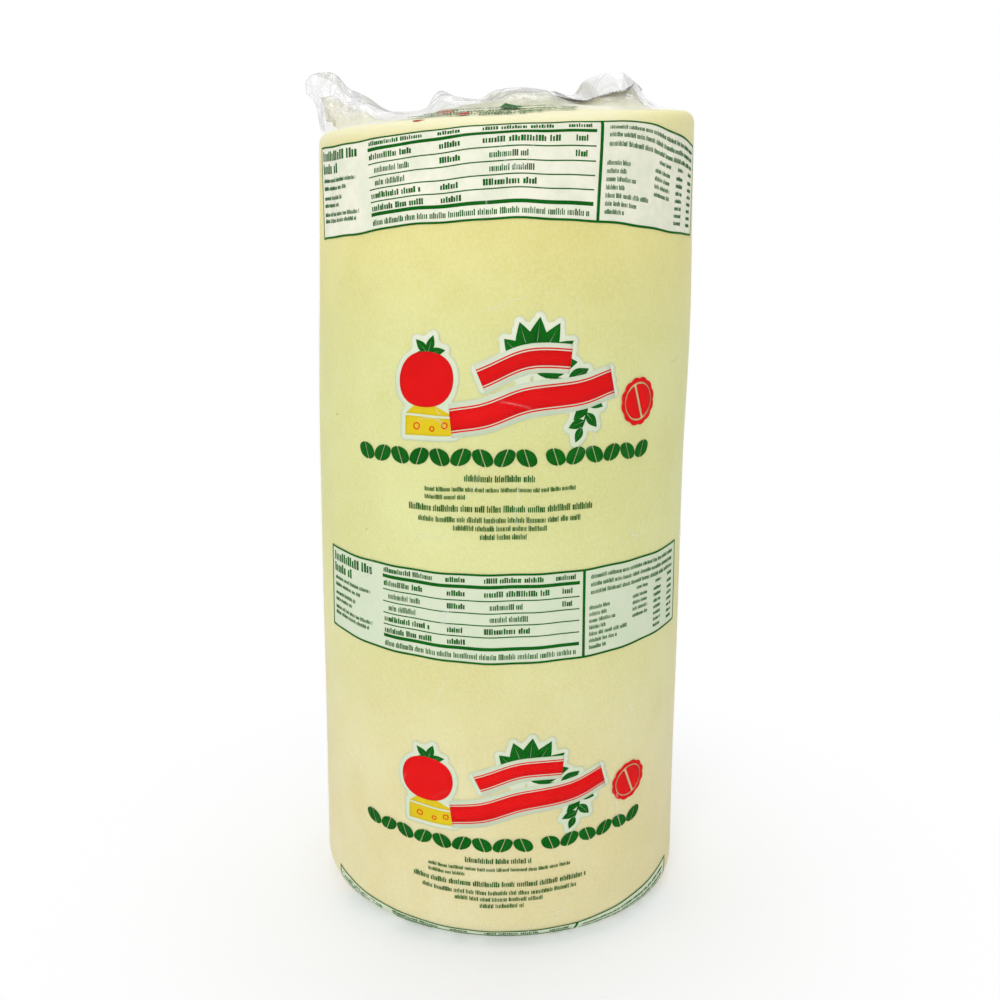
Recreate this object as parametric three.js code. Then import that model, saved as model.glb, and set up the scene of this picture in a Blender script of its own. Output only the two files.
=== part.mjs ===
// A whole provolone log in its sealed film, standing on its flat end.
//
// wrapped_log   the cheese with the film that clings to it: a soft-edged cylinder
// film_crown    the loose end of the film, closed by a seam that stands up over the top
//
// Millimetres, +Z up. The origin is the middle of the foot that the log stands on, and -Y is the front.
import * as THREE from "three";

// The log
const RADIUS = 73.8;
const HEIGHT = 306;
const SHOULDER_SHRINK = 1.5; // the upper end is this much slimmer in radius
const SHRINK_FROM = 200;
const LEAN_RIGHT = 1.4; // the upper half sits this far to the right of the lower half
const LEAN_START = -0.65;
const LEAN_FROM = 175;
const LEAN_TO = 250;
const FOOT_ROUNDING = 9.5;
const FOOT_WEAR = 3.5; // the foot's edge is this much rounder at its front left
const FOOT_WEAR_ANGLE = -50;
const TOP_ROUNDING = 7.3;
const TOP_DOME = 2.5;
const TOP_TILT = 0.052; // rise of the top face for each millimetre to the right
const TILT_GATHERS = 4; // power of the height with which the tilt sets in
const WAVE_DEPTH = 0.3; // hollows and swellings of the side
const BUMP_HEIGHT = 0.9; // one fold of film pressed into the left side
const BUMP_AT = 228;
const BUMP_ANGLE = -96; // degrees from the front, towards the right
const BUMP_SIZE = 11;

// The loose end of the film
const CROWN_RADIUS = 66; // where the film leaves the top face, in front and behind
const EAR_REACH = 4.5; // the left ear leaves it this much further out
const EAR_POWER = 8; // how closely that keeps to the ear
const CALM_POWER = 4; // the folds die away towards both ears by this power
const EAR_OVERHANG = 1.7; // the left ear goes up before it goes out, by this power
const CROWN_GAP = 0.3; // between the crown and the log's top face
const CROWN_BODY = 1.2; // least thickness once the film has left its edge
const RISE_POWER = 2.4; // the film hugs the top first and then climbs
const LEFT_RISE_POWER = 1; // the left ear climbs at once
const RIGHT_RISE_POWER = 5; // the right ear stands in from the rim
const FOLD_SHARE = 0.5; // depth of the folds as a share of the crest's height over the top face
const FOLD_LENGTH = 34;
const FOLD_COUNT = 4;
const FOLD_RATIO = 0.66; // each set of folds is finer than the one before by this
const GOLDEN_TURN = 137.5; // degrees between one set of folds and the next
const GOLDEN_STEP = 0.618;

// The crest, where the front and the back of the film are sealed together, from the left ear to the right
const CREST = [
  [-77, 1, 318.5],
  [-70, -5, 324],
  [-61.5, 4, 323.5],
  [-57, -5, 317],
  [-49, 6, 313.5],
  [-41, -6, 311.5],
  [-32, 5, 312],
  [-25, -6, 318.5],
  [-17, 4, 316],
  [-10, 9, 317],
  [-2, -5, 319.5],
  [8, -8, 320],
  [16, 5, 318.5],
  [25, 8, 316.5],
  [31, -4, 322],
  [43, -7, 325],
  [49.5, 5, 321],
  [55, -1, 312],
];

// Mesh fineness
const LOG_COLUMNS = 72;
const FOOT_RINGS = 2;
const ROUNDING_STEPS = 5;
const SIDE_STEPS = 16;
const DOME_RINGS = 4;
const CROWN_COLUMNS = 100;
const CROWN_ROWS = 12;
const CROWN_ROW_POWER = 1.3; // the rows lie closer together near the edge

const RIGHT_ANGLE = Math.PI / 2;
const radians = THREE.MathUtils.degToRad;
const smooth = THREE.MathUtils.smoothstep;

// How far the section's middle lies to the right at height z
function lean(z) {
  return LEAN_START + LEAN_RIGHT * smooth(z, LEAN_FROM, LEAN_TO);
}

// Radius of the section at height z, before the end roundings are taken off
function sideRadius(z) {
  return RADIUS - SHOULDER_SHRINK * smooth(z, SHRINK_FROM, HEIGHT);
}

// Radius of the foot's rounded edge
function footRounding(angle) {
  const turn = angle - radians(FOOT_WEAR_ANGLE);
  return FOOT_ROUNDING + FOOT_WEAR * (0.5 + 0.5 * Math.cos(turn)) ** 2;
}

// Slow swellings of the side and the pressed fold: how far the surface stands out at an angle and height
function unevenness(angle, z) {
  const across = z / HEIGHT;
  const slow =
    Math.sin(2 * angle + 5.1 * across) +
    0.7 * Math.sin(3 * angle - 8.3 * across + 1.1) +
    0.5 * Math.sin(5 * angle + 14.9 * across + 2.3);
  const aside = RADIUS * Math.atan2(
    Math.sin(angle - radians(BUMP_ANGLE)),
    Math.cos(angle - radians(BUMP_ANGLE)),
  );
  const apart = (aside * aside + (z - BUMP_AT) ** 2) / BUMP_SIZE ** 2;
  return WAVE_DEPTH * slow * Math.sin(Math.PI * across) + BUMP_HEIGHT * Math.exp(-apart);
}

// A point of the log: angle from the front towards the right, distance from the section's middle, height
function logPoint(angle, distance, z) {
  const share = Math.min(distance / RADIUS, 1);
  const radius = distance + share * unevenness(angle, z);
  const x = lean(z) + radius * Math.sin(angle);
  const y = -radius * Math.cos(angle);
  return new THREE.Vector3(x, y, z + TOP_TILT * x * (z / HEIGHT) ** TILT_GATHERS);
}

// Height of the top face at a distance from its middle: a shallow dome, and a quarter round for its rim
function topHeight(distance) {
  const flat = sideRadius(HEIGHT) - TOP_ROUNDING;
  if (distance < flat) return HEIGHT + TOP_DOME * (1 - (distance / flat) ** 2);
  const over = Math.min(distance - flat, TOP_ROUNDING);
  return HEIGHT - TOP_ROUNDING + Math.sqrt(TOP_ROUNDING ** 2 - over ** 2);
}

// The log's outline at an angle, as [distance from the middle, height], from the foot up to the top face
function logOutline(angle) {
  const outline = [];
  const rounding = footRounding(angle);
  const foot = sideRadius(0) - rounding;
  for (let i = 1; i <= FOOT_RINGS; i++) outline.push([(foot * i) / FOOT_RINGS, 0]);
  for (let i = 1; i <= ROUNDING_STEPS; i++) {
    const turn = (RIGHT_ANGLE * i) / ROUNDING_STEPS;
    outline.push([foot + rounding * Math.sin(turn), rounding * (1 - Math.cos(turn))]);
  }
  const high = HEIGHT - TOP_ROUNDING;
  for (let i = 1; i <= SIDE_STEPS; i++) {
    const z = THREE.MathUtils.lerp(rounding, high, i / SIDE_STEPS);
    outline.push([sideRadius(z), z]);
  }
  const flat = sideRadius(HEIGHT) - TOP_ROUNDING;
  for (let i = 1; i <= ROUNDING_STEPS; i++) {
    const turn = (RIGHT_ANGLE * i) / ROUNDING_STEPS;
    outline.push([flat + TOP_ROUNDING * Math.cos(turn), high + TOP_ROUNDING * Math.sin(turn)]);
  }
  for (let i = 1; i < DOME_RINGS; i++) {
    const distance = flat * (1 - i / DOME_RINGS);
    outline.push([distance, topHeight(distance)]);
  }
  return outline;
}

// Joins rings of points into a skin, with every face turned outwards
function skinBetween(rings, faces) {
  for (let j = 0; j + 1 < rings.length; j++) {
    for (let i = 0; i < rings[j].length; i++) {
      const next = (i + 1) % rings[j].length;
      const [a, b] = [rings[j][i], rings[j][next]];
      const [c, d] = [rings[j + 1][next], rings[j + 1][i]];
      if (a !== b) faces.push(a, b, c);
      if (c !== d) faces.push(a, c, d);
    }
  }
}

// Closes a ring with a fan around one middle point
function fan(ring, middle, faces, upwards) {
  for (let i = 0; i < ring.length; i++) {
    const next = (i + 1) % ring.length;
    if (upwards) faces.push(ring[i], ring[next], middle);
    else faces.push(ring[next], ring[i], middle);
  }
}

function geometryOf(points, faces) {
  const geometry = new THREE.BufferGeometry().setFromPoints(points);
  geometry.setIndex(faces);
  geometry.computeVertexNormals();
  return geometry;
}

// Adds one ring of points, from the left side over the front to the right and back, and gives their numbers
function addRing(points, columns, pointAt) {
  const ring = [];
  for (let i = 0; i < columns; i++) {
    ring.push(points.length);
    points.push(pointAt(-RIGHT_ANGLE + (2 * Math.PI * i) / columns));
  }
  return ring;
}

function logGeometry() {
  const points = [];
  const faces = [];
  const rings = logOutline(0).map((_, k) =>
    addRing(points, LOG_COLUMNS, (angle) => logPoint(angle, ...logOutline(angle)[k])),
  );
  skinBetween(rings, faces);
  points.push(logPoint(0, 0, 0));
  fan(rings[0], points.length - 1, faces, false);
  points.push(logPoint(0, 0, topHeight(0)));
  fan(rings[rings.length - 1], points.length - 1, faces, true);
  return geometryOf(points, faces);
}

// A wave of straight flanks and sharp ridges, from 0 to 1, that repeats each whole number
function ridges(x) {
  return Math.abs(2 * (x - Math.floor(x + 0.5)));
}

// Folds of the loose film, 0 to 1, by the place along the rim and the way up the film, in millimetres:
// sets of ridges, each finer than the last and turned by the golden angle
function folds(along, up) {
  let sum = 0;
  let weights = 0;
  for (let k = 0; k < FOLD_COUNT; k++) {
    const turn = radians(GOLDEN_TURN * k);
    const length = FOLD_LENGTH * FOLD_RATIO ** k;
    const phase = (along * Math.cos(turn) + up * Math.sin(turn)) / length;
    sum += length * ridges(phase + GOLDEN_STEP * k);
    weights += length;
  }
  return sum / weights;
}

const crest = new THREE.CatmullRomCurve3(
  CREST.map((p) => new THREE.Vector3(...p)),
  false,
  "catmullrom",
  0.5,
);

// Height of the log's top face over a place on the plan
function topFace(x, y) {
  const z = topHeight(Math.hypot(x - lean(HEIGHT), y));
  return z + TOP_TILT * x * (z / HEIGHT) ** TILT_GATHERS;
}

// A point a little above the top face, at an angle and a distance from its middle
function aboveTop(angle, distance) {
  const x = lean(HEIGHT) + distance * Math.sin(angle);
  const y = -distance * Math.cos(angle);
  return new THREE.Vector3(x, y, topFace(x, y) + CROWN_GAP);
}

// How far an angle lies between the ears: -1 at the left ear, 0 in front and behind, 1 at the right ear
function earShare(angle) {
  return angle <= RIGHT_ANGLE ? angle / RIGHT_ANGLE : 2 - angle / RIGHT_ANGLE;
}

// Where the film leaves the top face at an angle: on a circle, drawn out at the left ear
function crownEdge(angle) {
  return CROWN_RADIUS + EAR_REACH * Math.max(-earShare(angle), 0) ** EAR_POWER;
}

// A point of the crown: angle along its edge, and the way up from the edge (0) to the crest (1).
// On the plan it goes straight from the edge to the crest, it climbs with a power of the way, and
// the folds lift it off that surface, upwards near the edge and outwards near the crest.
function crownPoint(angle, up) {
  const share = earShare(angle);
  const leftEar = Math.max(-share, 0) ** EAR_POWER;
  const rightEar = Math.max(share, 0) ** EAR_POWER;
  const top = crest.getPoint((share + 1) / 2);
  const inwards = up ** THREE.MathUtils.lerp(1, EAR_OVERHANG, leftEar);
  const point = aboveTop(angle, crownEdge(angle)).lerp(top, inwards);
  if (up === 0) return point;
  const low = topFace(point.x, point.y) + CROWN_GAP;
  const body = CROWN_BODY * (1 - (1 - up) ** 8);
  const earPower = share < 0 ? LEFT_RISE_POWER : RIGHT_RISE_POWER;
  const climb = up ** THREE.MathUtils.lerp(RISE_POWER, earPower, leftEar + rightEar);
  const room = Math.sin(Math.PI * up) * (1 - Math.abs(share) ** CALM_POWER);
  const depth = FOLD_SHARE * (top.z - low) * room;
  const lift = depth * folds(RADIUS * share * RIGHT_ANGLE, CROWN_RADIUS * up);
  const steep = RIGHT_ANGLE * up;
  point.z = THREE.MathUtils.lerp(low + body, top.z, climb) + lift * Math.cos(steep);
  point.y += (angle <= RIGHT_ANGLE ? -1 : 1) * lift * Math.sin(steep);
  return point;
}

// Distances from the top's middle at which the crown's underside follows the log: over the dome, then the rim
function undersideDistances(angle) {
  const flat = sideRadius(HEIGHT) - TOP_ROUNDING;
  const over = crownEdge(angle) - flat;
  const dome = [1, 2, 3].map((k) => (flat * k) / 3);
  return [...dome, flat + over / 3, flat + (2 * over) / 3];
}

function crownGeometry() {
  const points = [];
  const faces = [];
  const rings = [];
  for (let k = 0; k < undersideDistances(0).length; k++) {
    rings.push(addRing(points, CROWN_COLUMNS, (angle) => aboveTop(angle, undersideDistances(angle)[k])));
  }
  for (let j = 0; j < CROWN_ROWS; j++) {
    const up = (j / CROWN_ROWS) ** CROWN_ROW_POWER;
    rings.push(addRing(points, CROWN_COLUMNS, (angle) => crownPoint(angle, up)));
  }
  // the front and the back share the points of the crest
  const half = CROWN_COLUMNS / 2;
  const first = points.length;
  for (let i = 0; i <= half; i++) points.push(crest.getPoint(i / half));
  rings.push(rings[0].map((_, i) => first + (i <= half ? i : CROWN_COLUMNS - i)));
  skinBetween(rings, faces);
  points.push(aboveTop(0, 0));
  fan(rings[0], points.length - 1, faces, false);
  return geometryOf(points, faces);
}

const cheeseInFilm = new THREE.MeshStandardMaterial({ color: 0xe3dc9f, roughness: 0.38, metalness: 0 });
const clearFilm = new THREE.MeshStandardMaterial({
  color: 0xe9e9e4,
  roughness: 0.15,
  metalness: 0,
  transparent: true,
  opacity: 0.4,
});

function part(name, geometry, material) {
  const mesh = new THREE.Mesh(geometry, material);
  mesh.name = name;
  return mesh;
}

const provolone = new THREE.Group();
provolone.add(part("wrapped_log", logGeometry(), cheeseInFilm));
provolone.add(part("film_crown", crownGeometry(), clearFilm));

export default provolone;
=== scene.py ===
"""A provolone log in its clear printed film: the cheese, the film with its gathered crown, and the print."""

import math

import bpy
import numpy as np
from bpy.props import FloatProperty, FloatVectorProperty, IntProperty, PointerProperty
from bpy.types import Operator, Panel, PropertyGroup
from mathutils import Matrix, Vector


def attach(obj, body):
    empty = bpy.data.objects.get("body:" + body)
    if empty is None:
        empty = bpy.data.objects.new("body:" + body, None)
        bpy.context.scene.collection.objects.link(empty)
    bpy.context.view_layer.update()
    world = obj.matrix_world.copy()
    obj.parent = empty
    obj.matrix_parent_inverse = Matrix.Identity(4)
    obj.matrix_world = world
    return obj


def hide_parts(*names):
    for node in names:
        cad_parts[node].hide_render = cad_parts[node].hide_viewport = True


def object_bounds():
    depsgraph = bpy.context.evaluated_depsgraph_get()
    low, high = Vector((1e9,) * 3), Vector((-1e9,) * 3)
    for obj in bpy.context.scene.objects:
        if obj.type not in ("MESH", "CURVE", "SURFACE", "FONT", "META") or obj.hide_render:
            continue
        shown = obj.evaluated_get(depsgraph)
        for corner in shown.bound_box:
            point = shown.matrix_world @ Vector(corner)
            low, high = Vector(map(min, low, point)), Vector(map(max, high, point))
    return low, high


bl_info = {
    "name": "Provolone Log",
    "version": (1, 0, 0),
    "blender": (4, 5, 0),
    "location": "3D View > Sidebar > Provolone",
    "description": "Builds a provolone log in printed film around its packed solids",
    "category": "Add Mesh",
}

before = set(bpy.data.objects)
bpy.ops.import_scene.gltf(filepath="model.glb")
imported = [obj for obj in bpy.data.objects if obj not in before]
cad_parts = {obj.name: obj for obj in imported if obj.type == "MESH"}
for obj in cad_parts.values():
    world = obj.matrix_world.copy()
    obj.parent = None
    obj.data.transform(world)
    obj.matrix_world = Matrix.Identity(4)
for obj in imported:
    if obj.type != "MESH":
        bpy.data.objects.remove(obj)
CAD_BOX = [list(corner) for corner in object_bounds()]
BODY = "root"
LOG_NODE = "wrapped_log"
CROWN_NODE = "film_crown"
CHEESE_SLOT = "cheese_in_film"
FILM_SLOT = "clear_film"
BOX_SLACK = 1e-6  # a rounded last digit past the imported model's box, in metres
MM = 0.001
TURN = 2 * math.pi
RIGHT_ANGLE = math.pi / 2

# The log, in millimetres. Angles are measured from the front (-Y) towards the right (+X).
RADIUS = 73.8
HEIGHT = 306.0
SHOULDER_SHRINK = 1.5
SHRINK_FROM = 200.0
LEAN_RIGHT = 1.4
LEAN_START = -0.65
LEAN_FROM = 175.0
LEAN_TO = 250.0
FOOT_ROUNDING = 9.5
FOOT_WEAR = 3.5
FOOT_WEAR_ANGLE = math.radians(-50)
TOP_ROUNDING = 7.3
EAR_ROUNDING = 4.6  # radius of the rim's rounding under the crown's two ears
TOP_DOME = 4.6
TOP_TILT = 0.052
TILT_POWER = 4
RIM_DIP = 3.5
RIM_DIP_ANGLE = math.radians(7)
RIM_LIFTS = ((85, 1.4, 26), (-52, -0.8, 28))  # angle and height of a lift, and its span, in degrees
DIP_FROM = 294.0
DIP_TO = 306.0
WAVE_DEPTH = 0.3
WAVES = (  # slow swellings: share, waves round the log, and the phase's rise up the log and start
    (1.0, 2, 5.1, 0.0),
    (0.7, 3, -8.3, 1.1),
    (0.5, 5, 14.9, 2.3),
)
BUMP_HEIGHT = 0.9
BUMP_AT = 228.0
BUMP_ANGLE = math.radians(-96)
BUMP_SIZE = 11.0

# The crown of loose film. A way up it runs from 0 at its edge to 1 at its crest, and a place along it
# from -1 at the left ear over 0 in the middle to 1 at the right ear.
CROWN_RADIUS = 66.0
LEFT_REACH = 4.9
RIGHT_REACH = 2.6
LEFT_EAR = (0.35, 0.9)  # places, to the left, between which the crown's edge is drawn out by its reach
RIGHT_EAR = (0.2, 0.9)  # and those to the right
EAR_POWER = 8
CALM_POWER = 4
EAR_FLARE = (0.48, 0.86)  # ways up the left ear between which it widens
CROWN_GAP = 0.2  # the crown stays this far above the top at its crest
CROWN_BODY = 0.4  # and puffs up by this much close to its edge
BODY_POWER = 8
WALL_FROM = 0.42  # ways up between which the crown climbs steeply
WALL_TO = 0.62
FLAP_WALL_FROM = 0.8  # and those under the flap in front
FLAP_WALL_TO = 0.96
FLAP_FROM = (0.27, 0.41)  # places along the crown between which the flap in front sets in
FLAP_TO = (0.86, 0.97)  # and between which it ends
WALL_WANDER = ((0.05, 5, 1.0), (0.035, 11, 2.0))  # share, waves round the crown and start
WALL_SHARE = 0.36
CREST_POWER = 3
LEFT_RISE_POWER = 1.0
RIGHT_RISE_POWER = 5.0
STEEP_FROM = 0.2
FOLD_SHARE = 0.5
FOLD_MIDDLE = 0.35  # share of a fold's height that lies inwards
FOLDS_SET_IN = (0.25, 0.5)  # ways up the crown
FOLDS_END_POWER = 0.7
EAR_FOLDS = 0.2
EAR_CREASES = 0.15
FOLD_LENGTH = 34.0
FOLD_COUNT = 4
CREASE_COUNT = 2  # finer sets of folds after the main ones
CREASE_SHARE = 1.0
FOLD_RATIO = 0.66
GOLDEN_TURN = math.radians(137.5)
GOLDEN_STEP = 0.618
SWAY_UP = (3.0, 9.0, 0.13)  # sway of the finer folds, its length on the way up and its slant
SWAY_ALONG = (2.0, 7.0)  # a second sway and its length along the crown
CREST = (
    (-76.7, 1, 322.3),
    (-72.5, -5, 324.2),
    (-65.5, -1, 325),
    (-60.5, 3, 320.2),
    (-53, -5, 316.2),
    (-44.5, 5, 311.9),
    (-31.8, -4, 310.8),
    (-25, -5, 318.2),
    (-17.5, 4, 316.6),
    (-11.5, 8, 315.9),
    (-3.5, -5, 318.5),
    (7, -8, 319.2),
    (16, 5, 320),
    (26, 8, 318.3),
    (31, -4, 322.4),
    (43, -7, 324.9),
    (51, 5, 322.3),
    (57, -1, 312.5),
)
CROWN_TOP = 324.98
CREST_DROP = 0.3  # room for the seam's thickness under the top of the crown
FILLS = (  # places along the crown, and how much of its height there the cheese fills
    (-1, 0.35), (-0.94, 0.55), (-0.88, 0.65), (-0.76, 0.62), (-0.65, 0.62), (-0.53, 0.55), (-0.45, 0.3),
    (-0.38, 0.15), (-0.26, 0.25), (-0.12, 0.35), (-0.03, 0.85), (0.1, 0.96), (0.42, 0.95), (0.5, 1),
    (0.72, 1), (0.85, 0.85), (0.93, 0.5), (1, 0.3),
)
FILL_LEFT = -63.0  # where the cheese in the crown ends at the left, at the rim
FILL_LEFT_SLOPE = 0.42  # and how far to the left it reaches for each millimetre above the rim
FILL_LEFT_WAVE = (0.8, 0.9)  # depth of the waves in that end, and their phase for each millimetre
FILL_RIGHT = 54.0
FILL_ROOM = 0.8  # between the cheese and the crown
FILL_ROOM_POWER = 12
EDGE_ROOM = 1.0  # between the cheese's edge under the crown and the crown's own
GATHER_SHARES = (-1.0, -0.45, -0.3, -0.15, 0.28, 0.42, 1.0)
GATHER_UPS = (0.0, 0.0, 0.06, 0.28, 0.32, 0.06, 0.0)  # how far up the crown the cheese's skin stays yellow
GATHER_BLEND = (-0.03, 0.15)

SEAM_FLAPS = (  # the edge is a list of places along the crown and of ways up the cut edge there
    {
        "edge": (
            (0.44, 0.9), (0.5, 0.84), (0.56, 0.8), (0.62, 0.78),
            (0.74, 0.815), (0.8, 0.865), (0.86, 0.945), (0.92, 0.985),
        ),
        "side": 1,  # folded forwards
        "milkiness": 1.9,
        "cut_shade": 1.0,  # of the cut edge: painted shade that stands for its dark refraction
    },
    {
        "edge": ((-0.88, 0.97), (-0.72, 0.86), (-0.56, 0.83), (-0.44, 0.88), (-0.34, 0.98)),
        "side": -1,  # folded back
        "milkiness": 0.5,
        "cut_shade": 0.4,
    },
)
FLAP_COLUMNS = 420
FLAP_ROWS = 36
FLAP_ROW_POWER = 1.6
TOOTH_POWER = 4
FLAP_CLEARANCE = 0.4  # how far the flap stands off the crown at the crest
FLAP_FLARE = 0.6  # how much further its cut edge stands off
PLEAT_DEPTH = 0.8
PLEAT_PITCH = 11.0
PLEAT_WAVE = 3.1
FLAP_LIFT = (0.1, 0.5)  # at the crest, and more at the cut edge
FLAP_SKIN = (0.1, -0.06)  # from the outer skin to the inner one: inwards and upwards
CUT_BAND = (0.9, 0.94)  # the way down the flap between which it is painted dark, as shade for the cut edge's refraction
CUT_DASHES = (1.9, 4.7)  # lengths of two waves along the cut edge that break it into dashes

# The film, in millimetres
FILM_INSET = 0.1  # the film lies this far inside the solid's face
CHEESE_INSET = 0.45
FILM_COLUMNS = 384
BOTTOM_ROWS = 10
FOOT_ROWS = 12
SIDE_ROWS = 122
RIM_ROWS = 12
CROWN_ROWS = 84
CROWN_UPS = (0.0, 0.38, 0.66, 1.0)  # ways up the crown
CROWN_WAYS = (0.0, 0.22, 0.72, 1.0)  # and the share of its rows used up to there
FOOT_FLAT = 0.2  # points lower than this lie flat on the floor
FOOT_FLAT_ROWS = 3  # rows there whose normals are set straight down
JOIN_LENGTH = 2.0  # over which the crown runs into the rim
RIPPLE_DEPTH = 0.09
RIPPLES = ((23, 0.05, 0.0), (37, -0.11, 1.7))  # waves round the log, slant and start
RIPPLES_FROM = (262.0, 300.0)
RIPPLES_TO = (302.0, 309.0)
SHARP_BEND = 0.2  # a point this far from its neighbours' mean lies on a sharp crease
LOOSE_HEIGHTS = (0.8, 4.0)  # heights over the top between which the film comes loose
LOOSE_WAYS = (0.0, 0.1)

# The print. Heights q are measured on the flat film from the foot of the row of leaves.
REPEAT = 156.0
REPEATS = (-1, 0, 1)  # which repeats of the print fall on the log
STATIONS_Q = (-250.0, -71.9, 83.9, 300.0)  # heights on the flat print
STATIONS_T = (-42.4, 112.5, 268.3, 484.4)  # and where they lie on the film
BOW_AT_FOOT = 16.0
BOW_SLOPE = 0.082
DRAWN_FROM = -80.0  # across the uppermost panel, where the lists of its drawn lines start
DRAWN_STEP = 16.0
DRAWN_LOW = (-1.3, -1.4, -1.5, -0.8, -0.4, -0.3, -0.8, -1.2, -2.6, -2.9, -2.6)  # its lower line
DRAWN_HIGH = (2.5, 0.5, -1.4, -1.2, -0.8, -0.5, 0.1, 0.3, 1.1, -1.0, -2.0)  # and its upper line
INK_DEPTHS = {"white": 0.19, "yellow": 0.16, "green": 0.13, "outline": 0.1, "red": 0.07}
INK_THICKNESS = 0.02
INK_BELOW_CREST = 1.0
DRAWN_ON_LOG = (236, 262)  # places up the log between which the print starts to be drawn out of true
DRAWN_PANEL = (268, 300)  # the uppermost panel's foot and top
DRAWN_NEAR_RIM = (262, 300)
DRAWN_WIDER = (0.09, 0.05)  # how much wider the print gets there, and how much more near the rim
DRAWN_LEFT = 1.5
WAVER = (0.12, 0.15)  # how far the printed lines waver, and how much more near the top
FINE_WAVER = 0.1
CELL = 1.4
SEED = 7


def byte_colour(red, green, blue):
    """A screen colour, given as three numbers from 0 to 255, as linear light with an alpha of 1."""
    share = np.array([red, green, blue]) / 255
    light = np.where(share <= 0.04045, share / 12.92, ((share + 0.055) / 1.055) ** 2.4)
    return (*(float(v) for v in light), 1.0)


def smooth(x, low, high):
    """An S-shaped step: 0 up to low, 1 from high on."""
    share = np.clip((x - low) / (high - low), 0, 1)
    return share * share * (3 - 2 * share)


def mix(a, b, share):
    """From a at a share of 0 to b at a share of 1."""
    return a + (b - a) * share


# ---------------------------------------------------------------- the log's surface


def lean(z):
    """How far the section's middle lies to the right at height z."""
    return LEAN_START + LEAN_RIGHT * smooth(z, LEAN_FROM, LEAN_TO)


def side_radius(z):
    """Radius of the section at height z: constant, then slimmer by an S-shaped step."""
    return RADIUS - SHOULDER_SHRINK * smooth(z, SHRINK_FROM, HEIGHT)


def foot_rounding(angle):
    """Radius of the foot's rounded edge, larger where the foot is worn."""
    return FOOT_ROUNDING + FOOT_WEAR * (0.5 + 0.5 * np.cos(angle - FOOT_WEAR_ANGLE)) ** 2


def rim_rounding(angle):
    """Radius of the rim's rounded edge: TOP_ROUNDING in front, by the fourth power of the angle's sine
    down to EAR_ROUNDING at the left and right."""
    return mix(TOP_ROUNDING, EAR_ROUNDING, np.sin(angle) ** 4)


def flat_radius(angle):
    """Distance from the middle at which the rim's rounding starts."""
    return side_radius(HEIGHT) - rim_rounding(angle)


def unevenness(angle, z):
    """Swellings of the side, a sum of sines of angle and height as WAVES gives them, and one pressed
    fold with the shape of a bell."""
    across = z / HEIGHT
    slow = 0
    for share, turns, rise, start in WAVES:
        slow = slow + share * np.sin(turns * angle + rise * across + start)
    turn = angle - BUMP_ANGLE
    aside = RADIUS * np.arctan2(np.sin(turn), np.cos(turn))
    apart = (aside**2 + (z - BUMP_AT) ** 2) / BUMP_SIZE**2
    return WAVE_DEPTH * slow * np.sin(np.pi * across) + BUMP_HEIGHT * np.exp(-apart)


def settled(angle, distance, x, z):
    """Height z after the log has settled: raised to the right by the top's tilt, which sets in with
    the fourth power of the height, and lowered at the rim by a squared cosine of the angle and by
    small lifts and dents."""
    dip = RIM_DIP * np.cos(angle - RIM_DIP_ANGLE) ** 2
    for place, lift, span in RIM_LIFTS:
        dip = dip - lift * np.exp(-(((np.degrees(angle) - place) / span) ** 2))
    reach = np.minimum(distance / flat_radius(angle), 1) ** 2
    tilt = TOP_TILT * x * (z / HEIGHT) ** TILT_POWER
    return z + tilt - dip * reach * smooth(z, DIP_FROM, DIP_TO)


def log_point(angle, distance, z):
    """A point at an angle and a distance from the leaning middle line, at a height before settling."""
    share = np.minimum(distance / RADIUS, 1)
    radius = distance + share * unevenness(angle, z)
    x = lean(z) + radius * np.sin(angle)
    y = -radius * np.cos(angle)
    return np.stack([x, y, settled(angle, distance, x, z)], axis=-1)


def top_height(angle, distance):
    """Height of the top: a shallow parabolic dome, then a quarter round for the rim."""
    rounding = rim_rounding(angle)
    flat = flat_radius(angle)
    dome = HEIGHT + TOP_DOME * (1 - (distance / flat) ** 2)
    over = np.clip(distance - flat, 0, rounding)
    rim = HEIGHT - rounding + np.sqrt(rounding**2 - over**2)
    return np.where(distance < flat, dome, rim)


def top_face(x, y):
    """Height of the settled top over a place on the plan."""
    aside = x - lean(HEIGHT)
    distance = np.hypot(aside, y)
    angle = np.arctan2(aside, -y)
    return settled(angle, distance, x, top_height(angle, distance))


def foot_arc(angle, way, inset):
    """Quarter round of the foot, from its flat (way 0) up to the side (way 1): distance and height."""
    rounding = foot_rounding(angle)
    turn = RIGHT_ANGLE * way
    distance = side_radius(0) - rounding + (rounding - inset) * np.sin(turn)
    return distance, rounding - (rounding - inset) * np.cos(turn)


def rim_arc(angle, turn, inset):
    """The rim's quarter round at a turn up from the side: distance and height."""
    rounding = rim_rounding(angle)
    reach = rounding - inset
    return flat_radius(angle) + reach * np.cos(turn), HEIGHT - rounding + reach * np.sin(turn)


def rim_turn(angle, distance):
    """How far up the rim's quarter round a distance from the middle is reached."""
    share = (distance - flat_radius(angle)) / rim_rounding(angle)
    return np.arccos(np.clip(share, 0, 1))


# ---------------------------------------------------------------- the crown's surface


def through(values, place):
    """Uniform Catmull-Rom curve through a list of numbers or points, at a place counted in steps."""
    values = np.asarray(values, float)
    knots = np.concatenate([[2 * values[0] - values[1]], values, [2 * values[-1] - values[-2]]])
    place = np.clip(place, 0, len(values) - 1)
    first = np.minimum(place.astype(int), len(values) - 2)
    t = place - first
    t = t.reshape(t.shape + (1,) * (values.ndim - 1))
    p0, p1, p2, p3 = (knots[first + k] for k in range(4))
    slope1 = (p2 - p0) / 2
    slope2 = (p3 - p1) / 2
    curve = p1 + slope1 * t + (3 * (p2 - p1) - 2 * slope1 - slope2) * t**2
    return curve + (2 * (p1 - p2) + slope1 + slope2) * t**3


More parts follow.
